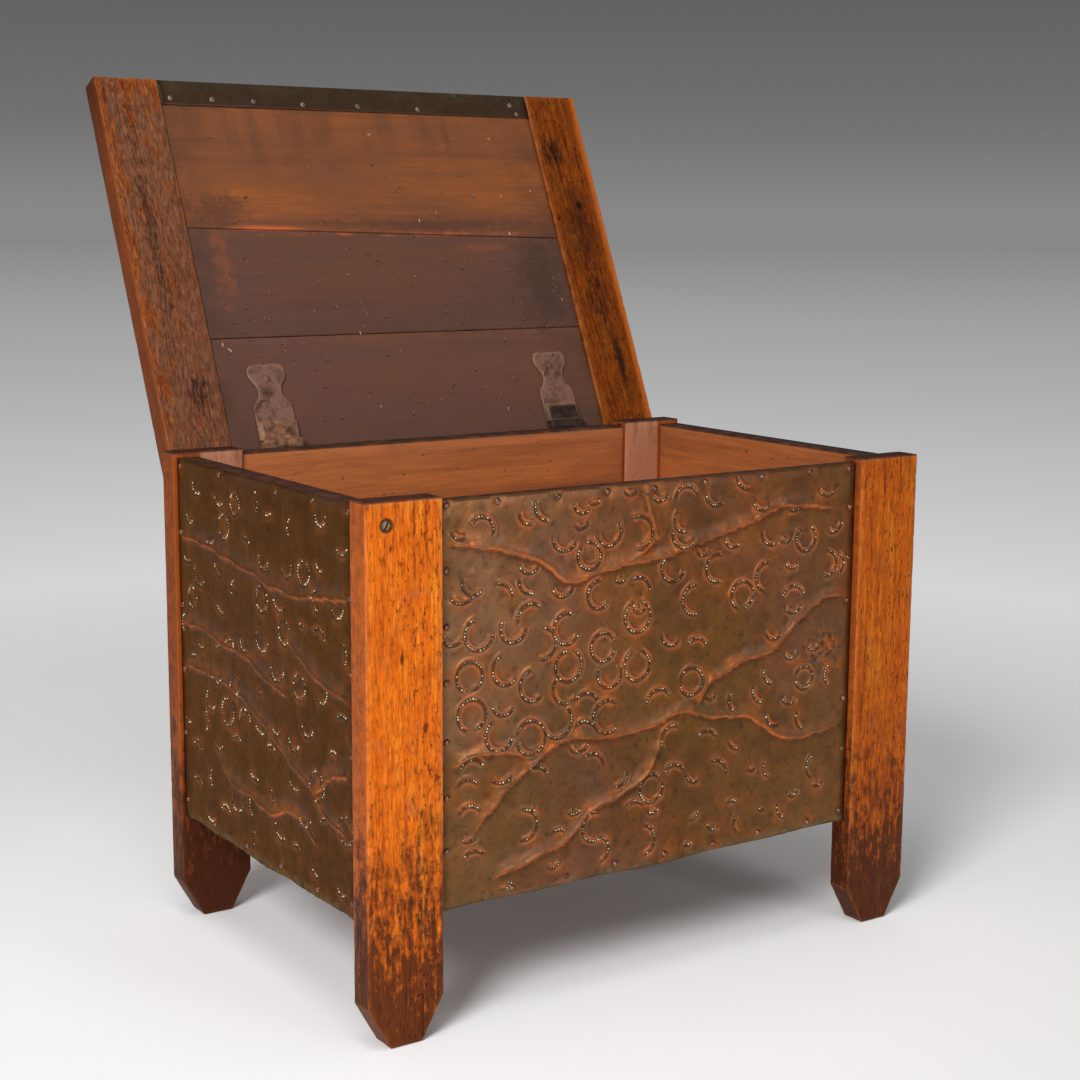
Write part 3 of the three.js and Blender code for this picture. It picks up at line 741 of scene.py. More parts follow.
def swells(random, x, y, pitch):
    """Smooth random heights from -1 to 1, a pitch apart."""
    rows, columns = int(y.max() / pitch) + 3, int(x.max() / pitch) + 3
    lattice = random.uniform(-1, 1, (rows, columns))
    row, column = np.maximum(y / pitch, 0), np.maximum(x / pitch, 0)
    i, j = row.astype(int), column.astype(int)
    up, across = eased(row - i), eased(column - j)
    low = lattice[i, j] * (1 - across) + lattice[i, j + 1] * across
    high = lattice[i + 1, j] * (1 - across) + lattice[i + 1, j + 1] * across
    return low * (1 - up) + high * up


def softened(heights, reach):
    """Heights averaged over a number of cells on each side."""
    weights = np.exp(-0.5 * (np.arange(-2 * reach, 2 * reach + 1) / reach) ** 2)
    weights /= weights.sum()
    for axis in (0, 1):
        padding = [(2 * reach, 2 * reach) if other == axis else (0, 0) for other in (0, 1)]
        padded = np.pad(heights, padding, mode="edge")
        heights = np.apply_along_axis(np.convolve, axis, padded, weights, mode="valid")
    return heights


def near(lattice, low, high):
    """The part of a lattice, as two slices, that lies around a stretch from one point to another."""
    x, y = lattice
    left, right = np.searchsorted(
        x[0], (min(low[0], high[0]) - vein_reach, max(low[0], high[0]) + vein_reach))
    start, end = np.searchsorted(
        y[:, 0], (min(low[1], high[1]) - vein_reach, max(low[1], high[1]) + vein_reach))
    return slice(start, end), slice(left, right)


def vein_relief(x, y, veins, width, height, random):
    """The height of the veins: each falls off gently on its upper side and steeply on its lower side."""
    bent_x = x + vein_wander * (swells(random, x, y, 0.014) + 0.4 * swells(random, x, y, 0.006))
    bent_y = y + vein_wander * (swells(random, x, y, 0.014) + 0.4 * swells(random, x, y, 0.006))
    lumps = 0.78 + 0.22 * swells(random, x, y, 0.02)
    relief = np.zeros_like(x)
    for vein in veins:
        run = run_through([(across * width, up * height) for across, up in vein])
        lengths = np.linalg.norm(np.diff(run, axis=0), axis=1)
        marks = np.concatenate([[0], np.cumsum(lengths)])
        best = np.full(x.shape, np.inf)
        place = np.zeros_like(x)
        for start, end, mark, length in zip(run, run[1:], marks, lengths):
            part = near((x, y), start, end)
            step = (end - start) / length
            off_x, off_y = bent_x[part] - start[0], bent_y[part] - start[1]
            along = np.clip(off_x * step[0] + off_y * step[1], 0, length)
            off_x, off_y = off_x - along * step[0], off_y - along * step[1]
            distance = np.hypot(off_x, off_y)
            nearer = distance < np.abs(best[part])
            side = np.where(step[0] * off_y - step[1] * off_x >= 0, 1, -1)
            best[part] = np.where(nearer, distance * side, best[part])
            place[part] = np.where(nearer, mark + along, place[part])
        swell = eased(np.minimum(place, marks[-1] - place) / (0.08 * marks[-1]) + 0.30) * lumps
        fall = np.where(best > 0, best / vein_slope, -best / vein_drop)
        profile = 0.72 * (1 - eased(fall)) + 0.28 * np.exp(-(np.abs(best) / vein_crest) ** 2)
        relief = np.maximum(relief, vein_height * swell * profile)
    return relief


def crescent_relief(x, y, crescents, width, height):
    """The height of the crescents: a punched groove, with the metal pushed up beside it."""
    relief = np.zeros_like(x)
    for across, up, radius, middle, turn in crescents:
        off_x, off_y = x - across * width, y - up * height
        off = np.hypot(off_x, off_y) - radius * 0.001
        angle = np.degrees(np.arctan2(off_y, off_x)) - middle
        angle = np.abs((angle + 180) % 360 - 180)
        strength = eased((turn / 2 + 9 - angle) / 24)
        groove = groove_depth * np.exp(-(off / groove_half_width) ** 2)
        inner = rim_inside * np.exp(-((off + rim_distance) / rim_half_width) ** 2)
        outer = rim_outside * np.exp(-((off - rim_distance) / rim_half_width) ** 2)
        relief += strength * (inner + outer - groove)
    return np.clip(relief, -0.0018, 0.0014)


def dot_places(crescents, width, height, random):
    """The punched dots along the crescents, a little unevenly set."""
    places = []
    for across, up, radius, middle, turn in crescents:
        radius = radius * 0.001
        count = max(2, round(math.radians(turn) * radius / dot_pitch))
        for index in range(count):
            angle = math.radians(middle + turn * ((index + 0.5) / count - 0.5)) + random.normal(0, 0.012)
            away = radius + random.normal(0, 0.00018)
            x, y = across * width + away * math.cos(angle), up * height + away * math.sin(angle)
            if 0.002 < x < width - 0.002 and 0.002 < y < height - 0.002 and random.uniform() < 0.93:
                places.append((x, y))
    return np.array(places)


def scattered_crescents(random, width, height, spacing):
    """Crescents strewn over a sheet, none closer to another than the spacing, most of them open upwards."""
    crescents = []
    for _ in range(4000):
        across, up = random.uniform(0.04, 0.96), random.uniform(0.05, 0.96)
        if all(math.hypot((across - other[0]) * width, (up - other[1]) * height) > spacing
               for other in crescents):
            middle = random.choice([-110, -90, 90, 170, 0], p=[0.4, 0.25, 0.2, 0.1, 0.05])
            middle += random.uniform(-20, 20)
            turn = random.choice([95, 130, 190, 330], p=[0.4, 0.3, 0.2, 0.1])
            crescents.append((across, up, random.uniform(9, 13), middle, turn))
    return crescents


def fine_steps(length):
    """Places along a length, in fine cells that make whole coarse ones."""
    coarse = round(length / (fine_cell * cells_across_coarse))
    return np.linspace(0, length, coarse * cells_across_coarse + 1)


def sheet_mesh(name, x, along, path, relief, wave, colours, worked):
    """A sheet as a closed mesh: its face has its relief, on a path of places and outward directions, with
    fine cells where it is worked and coarse ones between, and its back is plain. The wave moves the first
    edge, and colours are attributes kept for the material."""
    rows, columns = relief.shape
    base = np.zeros((rows, columns, 3))
    base[:, :, 0] = x
    base[:, :, 1] = path[:, 0:1]
    base[:, :, 2] = path[:, 1:2]
    out = np.zeros((rows, columns, 3))
    out[:, :, 1] = path[:, 2:3]
    out[:, :, 2] = path[:, 3:4]
    base[:, :, 1] += wave[None, :] * np.clip(1 - along[:, None] / wave_reach, 0, 1) ** 2
    face = base + out * relief[:, :, None]
    back = base - out * sheet_thickness
    grid = np.arange(rows * columns).reshape(rows, columns)
    span = cells_across_coarse
    cell_rows, cell_columns = (rows - 1) // span, (columns - 1) // span
    blocks = worked[:-1, :-1].reshape(cell_rows, span, cell_columns, span)
    fine = np.pad(blocks.any(axis=(1, 3)), 1)
    quads = np.stack([grid[:-1, :-1], grid[:-1, 1:], grid[1:, 1:], grid[1:, :-1]], axis=-1)
    faces = quads[np.repeat(np.repeat(fine[1:-1, 1:-1], span, axis=0), span, axis=1)].tolist()
    rim_steps = set()
    for row in range(cell_rows):
        for column in range(cell_columns):
            low, left = row * span, column * span
            high, right = low + span, left + span
            sides = [
                (grid[low, left:right], fine[row, column + 1], row == 0),
                (grid[low:high, right], fine[row + 1, column + 2], column == cell_columns - 1),
                (grid[high, right:left:-1], fine[row + 2, column + 1], row == cell_rows - 1),
                (grid[high:low:-1, left], fine[row + 1, column], column == 0),
            ]
            here = fine[row + 1, column + 1]
            loop = []
            for places, beside, on_rim in sides:
                kept = places if beside or here else places[:1]
                loop.extend(kept.tolist())
                if on_rim:
                    rim_steps.update(kept.tolist())
            if not here:
                faces.append(loop)
    rim_steps.update(int(grid[row, column]) for row in (0, -1) for column in (0, -1))
    place_of = {}
    corners = []

    def corner(key, place):
        if key not in place_of:
            place_of[key] = len(corners)
            corners.append(tuple(place))
        return place_of[key]

    flat_face, flat_back = face.reshape(-1, 3), back.reshape(-1, 3)
    polygons = [[corner(key, flat_face[key]) for key in loop] for loop in faces]
    used = list(place_of)

    def behind(key):
        return corner((key,), flat_back[key])

    first = [int(key) for key in grid[0] if int(key) in rim_steps]
    last = [int(key) for key in grid[-1] if int(key) in rim_steps]
    left = [int(key) for key in grid[:, 0] if int(key) in rim_steps]
    right = [int(key) for key in grid[:, -1] if int(key) in rim_steps]
    for line, turned in ((first, False), (right, False), (last, True), (left, True)):
        for near_key, far_key in zip(line, line[1:]):
            strip = [behind(near_key), behind(far_key), place_of[far_key], place_of[near_key]]
            polygons.append(strip[::-1] if turned else strip)
    looks = path[::span, 2:]
    turned = [index for index in range(1, len(looks) - 1)
              if not (np.allclose(looks[index], looks[index - 1])
                      and np.allclose(looks[index], looks[index + 1]))]
    stops = [0, *(index * span for index in turned), rows - 1]
    for start, end in zip(stops, stops[1:]):
        low = first if start == 0 else [int(grid[start, 0]), int(grid[start, -1])]
        high = last if end == rows - 1 else [int(grid[end, 0]), int(grid[end, -1])]
        up_left = [key for key in left if start < key // columns < end]
        up_right = [key for key in right if start < key // columns < end]
        loop = low + up_right + high[::-1] + up_left[::-1]
        polygons.append([behind(key) for key in loop][::-1])
    mesh = bpy.data.meshes.new(name)
    mesh.from_pydata(corners, [], polygons)
    flat_from = len(faces)
    mesh.polygons.foreach_set("use_smooth", [index < flat_from for index in range(len(polygons))])
    for key, values in colours.items():
        spread = np.zeros(len(corners), dtype=np.float32)
        spread[:len(used)] = values.reshape(-1)[used]
        mesh.attributes.new(key, "FLOAT", "POINT").data.foreach_set("value", spread)
    return mesh


def hammered(x, along, veins, crescents, nails, width, height, random, pits=None, bold=1.0, deep=1.0):
    """The relief of a worked sheet, where it is worked finely, and for the material how far each place
    looks down or up, for bare copper with a painted glint and for dust with painted sheen, how hollow it
    lies, for patina and painted shade, and how near it is to a mark, to a side, where shade is painted, or to
    the lower edge."""
    raised = vein_relief(x, along, veins, width, height, random)
    punched = deep * crescent_relief(x, along, crescents, width, height)
    for across, up in nails:
        away = np.hypot(x - across * width, along - up * height)
        punched -= nail_dent * np.exp(-(away / nail_dent_reach) ** 2)
    worked = (np.abs(punched) > 0.00006) | (raised > 0.0009)
    relief = sheet_lift + sum(rise * swells(random, x, along, pitch) for rise, pitch in sheet_swells)
    for _ in range(round(width * height * dents_per_area)):
        away = np.hypot(x - random.uniform(0, width), along - random.uniform(0, height))
        relief -= random.uniform(0.3, 1.0) * dent_depth * np.exp(-(away / random.uniform(*dent_reaches)) ** 2)
    relief += skin_height * swells(random, x, along, skin_pitch) + 0.85 * bold * raised + punched
    marked = np.clip(np.abs(punched) / 0.0004, 0, 1) + np.clip(raised / 0.002, 0, 1)
    if pits:
        away = np.hypot(x - pits[0] * width, along - pits[1] * height) / (pits[2] * width)
        pitted = 1 - eased(away)
        relief += pitted * sum(rise * swells(random, x, along, pitch) for rise, pitch in pit_swells)
        marked += 3 * pitted
        worked |= away < 0.9
    relief *= eased(np.minimum(np.minimum(x, width - x), height - along) / rim_fade)
    foot = 1 - eased(along / foot_reach)
    crumpled = crumple_height * np.abs(swells(random, x, along, crumple_pitch))
    relief = np.maximum(relief * (1 - foot) + crumpled * foot, lowest_relief)
    slope = np.gradient(relief, along[-1, 0] - along[-2, 0], axis=0)
    # Bare copper with a painted glint goes on the slopes that look down
    down = np.clip((slope - 0.06) / 0.40, 0, 1)
    proud = relief - softened(relief, 4)
    return relief, worked, {
        "bare": np.maximum(down, 0.5 * softened(down, 2)),
        # Dust and painted sheen on the slopes that look up
        "dust_and_sheen": softened(np.clip((-slope - 0.03) / 0.16, 0, 1), 3),
        "around": np.clip(softened(marked, 6) * 1.6, 0, 1),
        # Dark patina and painted shade where the sheet lies lower than round it, as at the foot of a vein
        "patina_and_shade": np.clip(-proud / 0.00034, 0, 1),
        # Near the sheet's side edges: painted shade beside the posts, and on the lid beside the rails
        "side": 1 - eased(np.minimum(x, width - x) / 0.012),
        "low": 1 - eased(along / 0.010),
    }


def front_sheen_and_rust(own):
    """The front sheet has a painted pink sheen towards its left edge and painted fawn light towards its right
    one, and is rusty in torn patches, with golden streaks running down from the top."""
    # Painted pink sheen towards the left edge, stronger higher up
    left = slab(own, "X", 0.02, -0.24) * cloud(own, 14, 4, 0.6, 0.25, 0.60, 71)
    left *= slab(own, "Z", 0.16, 0.28) * 0.6 + 0.4
    # Painted fawn light towards the right edge
    right = slab(own, "X", 0.04, 0.20) * cloud(own, 16, 4, 0.6, 0.25, 0.60, 74)
    streaks = cloud(stretched(own, 1, 1, 0.35), 24, 3, 0.55, 0.48, 0.70, 72) * slab(own, "Z", 0.22, 0.42)
    low_right = slab(own, "Z", 0.21, 0.12) * slab(own, "X", -0.10, 0.05)
    pitted = spot(own, (0.19, -0.19, 0.30), (0.055, 0.05, 0.065), 1.0, 76)
    rusty = slab(own, "Z", 0.39, 0.445).most(low_right).most(pitted) * cloud(own, 36, 5, 0.75, 0.50, 0.64, 75)
    return [(left * 0.60, copper_pink_sheen), (rusty * 0.50, copper_rust),
            (right * 0.50, copper_fawn_light), (streaks * 0.55, copper_glow)]


def side_shade(own):
    """The side sheets are darker, above all towards their foot."""
    patch = cloud(own, 12, 4, 0.6, 0.35, 0.65, 73)
    return [(patch * 0.40 + 0.40, copper_shade), (slab(own, "Z", 0.33, 0.13) * 0.44 + 0.14, copper_dark)]


def copper(name, turn, seed, warm, layers):
    """Old copper: brown, golden and plum in clouds, bare and with a painted glint on slopes that look down,
    with dust and painted sheen on those that look up, dark with patina and painted shade where it lies low,
    darker with painted shade near its side edges, and green at its wet lower edge."""
    material, own = new_material(name, turn)
    bare, dust_and_sheen, around, patina_and_shade, side, low = (
        attribute(own, key) for key in ("bare", "dust_and_sheen", "around", "patina_and_shade", "side", "low"))
    drift = cloud(own, 5.5, 3, 0.5, 0.38, 0.62, seed)
    mottle = cloud(own, 45, 5, 0.65, 0.30, 0.70, seed + 2)
    stain = cloud(own, 190, 4, 0.65, 0.54, 0.70, seed + 4)
    smudge = cloud(own, 62, 5, 0.7, 0.44, 0.66, seed + 9) * (around * 0.78 + 0.10)
    broad = cloud(own, 13, 3, 0.6, 0.34, 0.58, seed + 6)
    fine = cloud(own, 150, 4, 0.65, 0.30, 0.60, seed + 7)
    # Patina and painted shade in the hollows, which are also less metallic
    dull_and_shaded = patina_and_shade * 0.65
    green = low * 0.55 * cloud(own, 85, 5, 0.7, 0.42, 0.60, seed + 8)
    skin = cloud(own, 240, 4, 0.6, 0.2, 0.8, seed + 10)
    colour = coated(ramp(drift, [(0.0, copper_plum), (0.4, copper_brown), (1.0, copper_gold)]), [
        *layers(own),
        (mottle * 0.35, copper_dark),
        (stain * 0.45, copper_dark),
        # Dust and painted sheen on the slopes that look up
        (dust_and_sheen * 0.30, copper_dust_and_sheen),
        (smudge * warm, copper_worn),
        # Bare copper, and a painted glint, on the slopes that look down
        (bare * (broad * 0.75 + 0.25) * fine * (0.95 * warm), copper_bare),
        (dull_and_shaded, copper_dark),
        # Painted shade along the side edges, beside the posts and rails
        (side * 0.6, copper_dark),
        (green, copper_green),
    ])
    return shaded(material, {
        "Base Color": colour,
        "Normal": bumped(skin * 0.6 + mottle * 0.8, 0.35, 0.0004),
        "Specular IOR Level": 0.1,
        "Specular Tint": copper_glint,
        "Metallic": dull_and_shaded.most(green).between(0, 1, 0.72, 0.15),
        "Roughness": stain.between(0, 1, 0.36, 0.55),
    })


def punched_dots():
    """The pale green bloom that has settled in the punch marks."""
    material, own = new_material("punched_dots")
    bloom = cloud(own, 330, 1, 0.5, 0.30, 0.66, 3)
    colour = ramp(bloom, [(0.0, dot_dark), (0.40, dot_dark), (0.55, dot_green), (0.74, dot_pale)])
    return shaded(material, {"Base Color": colour, "Roughness": 0.55})


def copper_nails():
    """The domed heads of copper nails, dark with age and rubbed on top."""
    material, own = new_material("copper_nails")
    age = cloud(own, 420, 3, 0.6, 0.35, 0.65, 5)
    colour = ramp(age, [(0.0, nail_dark), (1.0, nail_bright)])
    return shaded(material, {
        "Base Color": colour,
        "Metallic": 0.8,
        "Roughness": age.between(0, 1, 0.24, 0.36),
    })


def points_tree(name, sizes):
    """An empty geometry tree that starts from points and has named inputs: its sizes, a seed and a
    finish."""
    tree = bpy.data.node_groups.new(name, "GeometryNodeTree")
    kinds = {"Geometry": "Geometry", **sizes, "Seed": "Int", "Finish": "Material"}
    for socket, kind in kinds.items():
        tree.interface.new_socket(socket, in_out="INPUT", socket_type="NodeSocket" + kind)
    tree.interface.new_socket("Geometry", in_out="OUTPUT", socket_type="NodeSocketGeometry")
    return tree, tree.nodes.new("NodeGroupInput").outputs


def chance(tree, low, high, seed):
    """A random number for each point."""
    given = {2: low, 3: high, "Seed": seed}
    return Share(add_node(tree, "FunctionNodeRandomValue", given, data_type="FLOAT").outputs[1])


def combined(tree, **axes):
    """Three numbers as a size, a place or a turn."""
    return add_node(tree, "ShaderNodeCombineXYZ", axes).outputs[0]


def set_on_points(tree, given, thing, smooth=False, **how):
    """Ends a geometry tree: one thing on every point, made real, with its finish."""
    things = add_node(tree, "GeometryNodeInstanceOnPoints", {
        "Points": given["Geometry"], "Instance": thing, **how})
    whole = add_node(tree, "GeometryNodeRealizeInstances", {0: things.outputs[0]}).outputs[0]
    if smooth:
        whole = add_node(tree, "GeometryNodeSetShadeSmooth", {"Geometry": whole}).outputs[0]
    finished = add_node(tree, "GeometryNodeSetMaterial", {"Geometry": whole, "Material": given["Finish"]})
    add_node(tree, "NodeGroupOutput", {0: finished.outputs[0]})
    return tree


def stud_tree():
    """Geometry Nodes that set a low dome on every point, each of a slightly different size."""
    tree, given = points_tree("studs", {"Width": "Float", "Rise": "Float", "Sides": "Int", "Spread": "Float"})
    dome = add_node(tree, "GeometryNodeMeshUVSphere", {"Segments": given["Sides"], "Rings": 4, "Radius": 0.5})
    spread = Share(given["Spread"])
    size = chance(tree, spread * -1.0 + 1.0, spread + 1.0, given["Seed"])
    width = Share(given["Width"]) * size
    scale = combined(tree, X=width, Y=width, Z=Share(given["Rise"]) * 2.0 * size)
    return set_on_points(tree, given, dome.outputs["Mesh"], smooth=True, Scale=scale)


def made_by(tree, name, places, turn, inputs):
    """Runs a geometry tree on points, and keeps what it makes as a plain mesh, moved to its place."""
    points = bpy.data.meshes.new(name + "_points")
    points.from_pydata([tuple(place) for place in places], [], [])
    start = placed(name + "_points", points)
    modifier = start.modifiers.new("made", "NODES")
    modifier.node_group = tree
    for item in tree.interface.items_tree:
        if item.in_out == "INPUT" and item.name in inputs:
            modifier[item.identifier] = inputs[item.name]
    bpy.context.view_layer.update()
    mesh = bpy.data.meshes.new_from_object(start.evaluated_get(bpy.context.evaluated_depsgraph_get()))
    start.modifiers.remove(modifier)
    bpy.data.objects.remove(start)
    mesh.transform(turn)
    mesh.name = name
    return placed(name, mesh)


def level_at(relief, x, y, cell_x, cell_y):
    """The relief's height at places on the sheet."""
    rows, columns = relief.shape
    column = np.clip(np.round(x / cell_x).astype(int), 0, columns - 1)
    row = np.clip(np.round(y / cell_y).astype(int), 0, rows - 1)
    return relief[row, column]


studs = stud_tree()
dot_look = {"Width": dot_width, "Rise": dot_rise, "Sides": 6, "Spread": 0.3, "Finish": punched_dots()}
nail_look = {"Width": nail_width, "Rise": nail_rise, "Sides": 12, "Spread": 0.08, "Finish": copper_nails()}
nail_lift = 0.0001


def studs_on(name, spots, relief, cells, turn, body, seed, look, lift=0.0):
    """Punched dots or nail heads at places of a sheet, on its relief."""
    x, y = spots[:, 0], spots[:, 1]
    places = np.column_stack([x, y, level_at(relief, x, y, *cells) + lift])
    piece = made_by(studs, name, places, turn, {**look, "Seed": seed})
    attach(piece, body)


# A wall's copper: its veins, crescents and nails, the direction it faces, its warmth and layers, its pits,
# and how bold its veins and how deep its crescents are
wall_sheets = {
    "front": (front_vein_shares, front_crescent_shares, front_nail_shares, 0, 1.0, front_sheen_and_rust,
              front_pit_shares, 1.0, 1.0),
    "left": (side_vein_shares, None, side_nail_shares, -90, 0.85, side_shade, None, 1.2, 0.5),
    "right": (side_vein_shares, None, side_nail_shares, 90, 0.85, side_shade, None, 1.2, 0.5),
}
for number, (wall, values) in enumerate(wall_sheets.items()):
    veins, crescents, nails, bearing, warm, layers, pits, bold, deep = values
    node = "copper_" + wall
    low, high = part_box(node)
    random = np.random.default_rng(40 + number)
    spin = Matrix.Rotation(math.radians(bearing), 4, "Z") @ Matrix.Rotation(math.radians(90), 4, "X")
    width = high.x - low.x if bearing == 0 else high.y - low.y
    face = {"front": (low.x, high.y - sheet_thickness), "left": (high.x - sheet_thickness, high.y),
            "right": (low.x + sheet_thickness, low.y)}[wall]
    turn = Matrix.Translation((*face, high.z - wall_sheet_height)) @ spin
    if crescents is None:
        crescents = scattered_crescents(random, width, wall_sheet_height, side_crescent_spacing)
    across = fine_steps(width)
    along = fine_steps(wall_sheet_height)
    relief, worked, marks = hammered(
        *np.meshgrid(across, along), veins, crescents, nails, width, wall_sheet_height,
        random, pits, bold, deep)
    path = np.column_stack([along, 0 * along, 0 * along, 0 * along + 1])
    wave = lower_edge_wave / 2 * (np.sin(across / width * 3 * math.pi) + np.sin(across / width * 7 * math.pi))
    mesh = sheet_mesh("hammered_" + node, across, along, path, relief, wave, marks, worked)
    mesh.transform(turn)
    mesh.materials.append(copper(node + "_patina", Matrix(), 7.0 * number, warm, layers))
    stand_for(placed("hammered_" + node, mesh), node, "box")
    cells = (across[1], along[1])
    dots = dot_places(crescents, width, wall_sheet_height, random)
    studs_on("punched_dots_" + wall, dots, relief, cells, turn, "box", number, dot_look)
    spots = np.array(nails) * (width, wall_sheet_height)
    studs_on("copper_nails_" + wall, spots, relief, cells, turn, "box", number, nail_look, nail_lift)


# The lid rails: two oak planks, the lid's ends, grooved for the boards. Their faces are as bright as the
# posts outside, and weathered grey brown inside on the left, with a black burn near the hinge.
lid_pin = (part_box("hinge_pin_left")[0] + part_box("hinge_pin_left")[1]) / 2
lid_open = math.radians(114.383)
at_pin = Matrix.Translation((0, lid_pin.y, lid_pin.z))
lid_turn = at_pin @ Matrix.Rotation(-lid_open, 4, "X")
lid_reach = 0.404
lid_overhang = 0.0195
rail_underside = 0.0028
rail_patch_depth = 0.012
rail_side = 0.298
rail_tones = {"left": 0.40, "right": 0.29}
oak_grey = tint(112, 74, 54)
oak_black = tint(26, 16, 12)
oak_bright = tint(222, 116, 40)
oak_worn = tint(176, 122, 94)


def rail_spot(own, x, y, reach_x, reach_y, ragged, seed):
    """A ragged patch on the underside of a rail, placed as on the closed lid, from the hinge pins."""
    return spot(own, (x, y, rail_underside), (reach_x, reach_y, rail_patch_depth), ragged, seed)


def left_rail_wear(own, along):
    """Grey weathering on the face that the open lid shows, but not at its free end or outer edge, and over
    it a smoky streak and a burn. The outer edge is brown."""
    under = slab(own, "Z", rail_underside + 0.004, rail_underside)
    from_end = slab(own, "Y", -lid_reach + 0.006, -lid_reach + 0.075)
    from_edge = slab(own, "X", -rail_side + 0.001, -rail_side + 0.016)
    short = stretched(own, 1, 0.22, 1)
    streaks = cloud(short, 125, 5, 0.8, 0.36, 0.62, 21)
    weathered = (from_edge * 0.45 + from_end * 0.35 + streaks * 0.9).between(0.75, 1.25)
    dark = cloud(short, 400, 5, 0.8, 0.44, 0.60, 24)
    broken = dark * 0.7 + 0.3
    pale = cloud(short, 300, 4, 0.7, 0.52, 0.68, 25)
    edge = slab(own, "X", -rail_side + 0.0018, -rail_side + 0.0008)
    return [
        (weathered * under * 0.85, oak_grey),
        (pale * under * 0.40, oak_worn),
        (dark * under * 0.60, oak_stain),
        (rail_spot(own, -0.2680, -0.230, 0.008, 0.150, 1.6, 22) * broken * 0.8, oak_stain),
        (rail_spot(own, -0.2525, -0.060, 0.016, 0.026, 1.0, 23) * broken, oak_black),
        (edge * 0.9, darker(oak_edge_brown, 0.45)),
        (edge * cloud(short, 60, 5, 0.75, 0.38, 0.64, 26) * 0.8, oak_edge_dark),
        (edge * slab(own, "Y", -0.300, -0.390) * 0.6, oak_stain),
    ]


def right_rail_wear(own, along):
    """Dark oil patches, one knot and a long dark streak on the bright rail."""
    dark = cloud(stretched(own, 1, 0.22, 1), 230, 5, 0.75, 0.46, 0.60, 36)
    broken = dark * 0.7 + 0.3
    return [
        (rail_spot(own, 0.2640, -0.235, 0.022, 0.070, 0.9, 35) * 0.55, oak_stain),
        (rail_spot(own, 0.2480, -0.332, 0.020, 0.026, 0.9, 31) * broken, oak_black),
        (rail_spot(own, 0.2680, -0.266, 0.0055, 0.0075, 0.3, 32), oak_black),
        (rail_spot(own, 0.2640, -0.150, 0.018, 0.055, 0.9, 33) * broken * 0.9, oak_stain),
        (dark * 0.35, oak_stain),
        (rail_spot(own, 0.2730, -0.075, 0.006, 0.050, 0.6, 34) * 0.85, oak_black),
        (slab(own, "X", rail_side - 0.010, rail_side - 0.0025) * 0.6, oak_bright),
    ]


for side, wear in (("left", left_rail_wear), ("right", right_rail_wear)):
    node = "lid_rail_" + side
    rail = worn_plank("oak_" + node, node, post_softness, post_cell, lid_turn)
    rail.data.materials.append(oak(node + "_oak", lid_turn, 1, rail_tones[side], wear, 3.1 * len(side)))
    stand_for(rail, node, "lid")


# The lid boards: three softwood boards tongued into the rails. The front one has split along its joint, and
# the points of the nails that hold the copper have come through and been bent over.
lid_board_underside = 0.0058
lid_patch_place = 0.006
lid_patch_depth = 0.02
lid_split_along = -0.2375
nail_points = {"Width": 0.0015, "Bow": 0.0024, "Sweep": math.radians(115), "Seed": 7}
nail_point_count = 250
nail_point_brown = tint(92, 58, 42)
nail_point_tan = tint(128, 84, 60)
nail_point_bright = tint(186, 158, 130)
lid_board_shades = {
    "lid_board_front": (tint(152, 84, 38), tint(124, 69, 35), tint(98, 62, 42)),
    "lid_board_middle": (tint(112, 70, 46), tint(96, 61, 45), tint(84, 60, 54)),
    "lid_board_back": (tint(122, 74, 47), tint(104, 64, 46), tint(94, 65, 57)),
}
lid_split = tint(188, 92, 50)
lid_smoke = tint(62, 44, 36)
lid_painted_shade = tint(84, 58, 50)
# A patch on the boards: its middle and its reach in X and Y, its raggedness, seed, strength and colour
lid_patches = [
    (-0.1900, -0.2600, 0.050, 0.024, 1.2, 46, 0.5, lid_smoke),
    (0.1900, -0.1700, 0.040, 0.070, 1.2, 47, 0.55, lid_smoke),
    (0.0800, -0.2430, 0.170, 0.009, 1.0, 48, 0.50, lid_smoke),
    (-0.1380, lid_split_along - 0.0005, 0.050, 0.0038, 0.5, 42, 0.9, lid_split),
    (-0.1960, -0.2000, 0.013, 0.050, 1.9, 44, 0.16, lid_split),
    (0.1250, -0.2160, 0.045, 0.008, 0.9, 45, 0.16, lid_split),
    (0.0300, lid_split_along + 0.0060, 0.170, 0.0034, 0.9, 43, 0.6, lid_split),
]


def lid_layers(own):
    """Dust in bands by the turned copper, painted shade over the front board towards its joint and over the
    boards behind it, deeper on the middle board and near the hinge, dark ends against the rails, smoke, and
    the pale split along the front joint, which breaks off here and there."""
    ends = level(own, "X").worked("ABSOLUTE").between(0.175, 0.229) * cloud(own, 30, 4, 0.6, 0.25, 0.75, 41)
    bands = cloud(stretched(own, 1, 0.12, 1), 42, 3, 0.6, 0.46, 0.62, 49)
    middle_only = slab(own, "Y", -0.117, -0.119)
    layers = [
        (bands * slab(own, "Y", -0.285, -0.350) * 0.30, lid_smoke),
        # Painted shade: growing over the front board towards its joint, and over the boards behind it
        (slab(own, "Y", -0.275, -0.236) * 0.40, lid_painted_shade),
        # Deeper painted shade on the middle board towards its back joint
        (slab(own, "Y", -0.175, -0.118) * middle_only * 0.55, lid_painted_shade),
        # Deeper painted shade near the hinge
        (slab(own, "Y", -0.075, -0.010) * 0.60, lid_painted_shade),
        (ends * 0.9 * 0.8, lid_smoke),
    ]
    for x, y, reach_x, reach_y, ragged, seed, strength, shade in lid_patches:
        place, reach = (x, y, lid_patch_place), (reach_x, reach_y, lid_patch_depth)
        layers.append((spot(own, place, reach, ragged, seed) * strength, shade))
    share, shade = layers[-1]
    layers[-1] = (share * cloud(own, 38, 3, 0.6, 0.48, 0.60, 50), shade)
    return layers


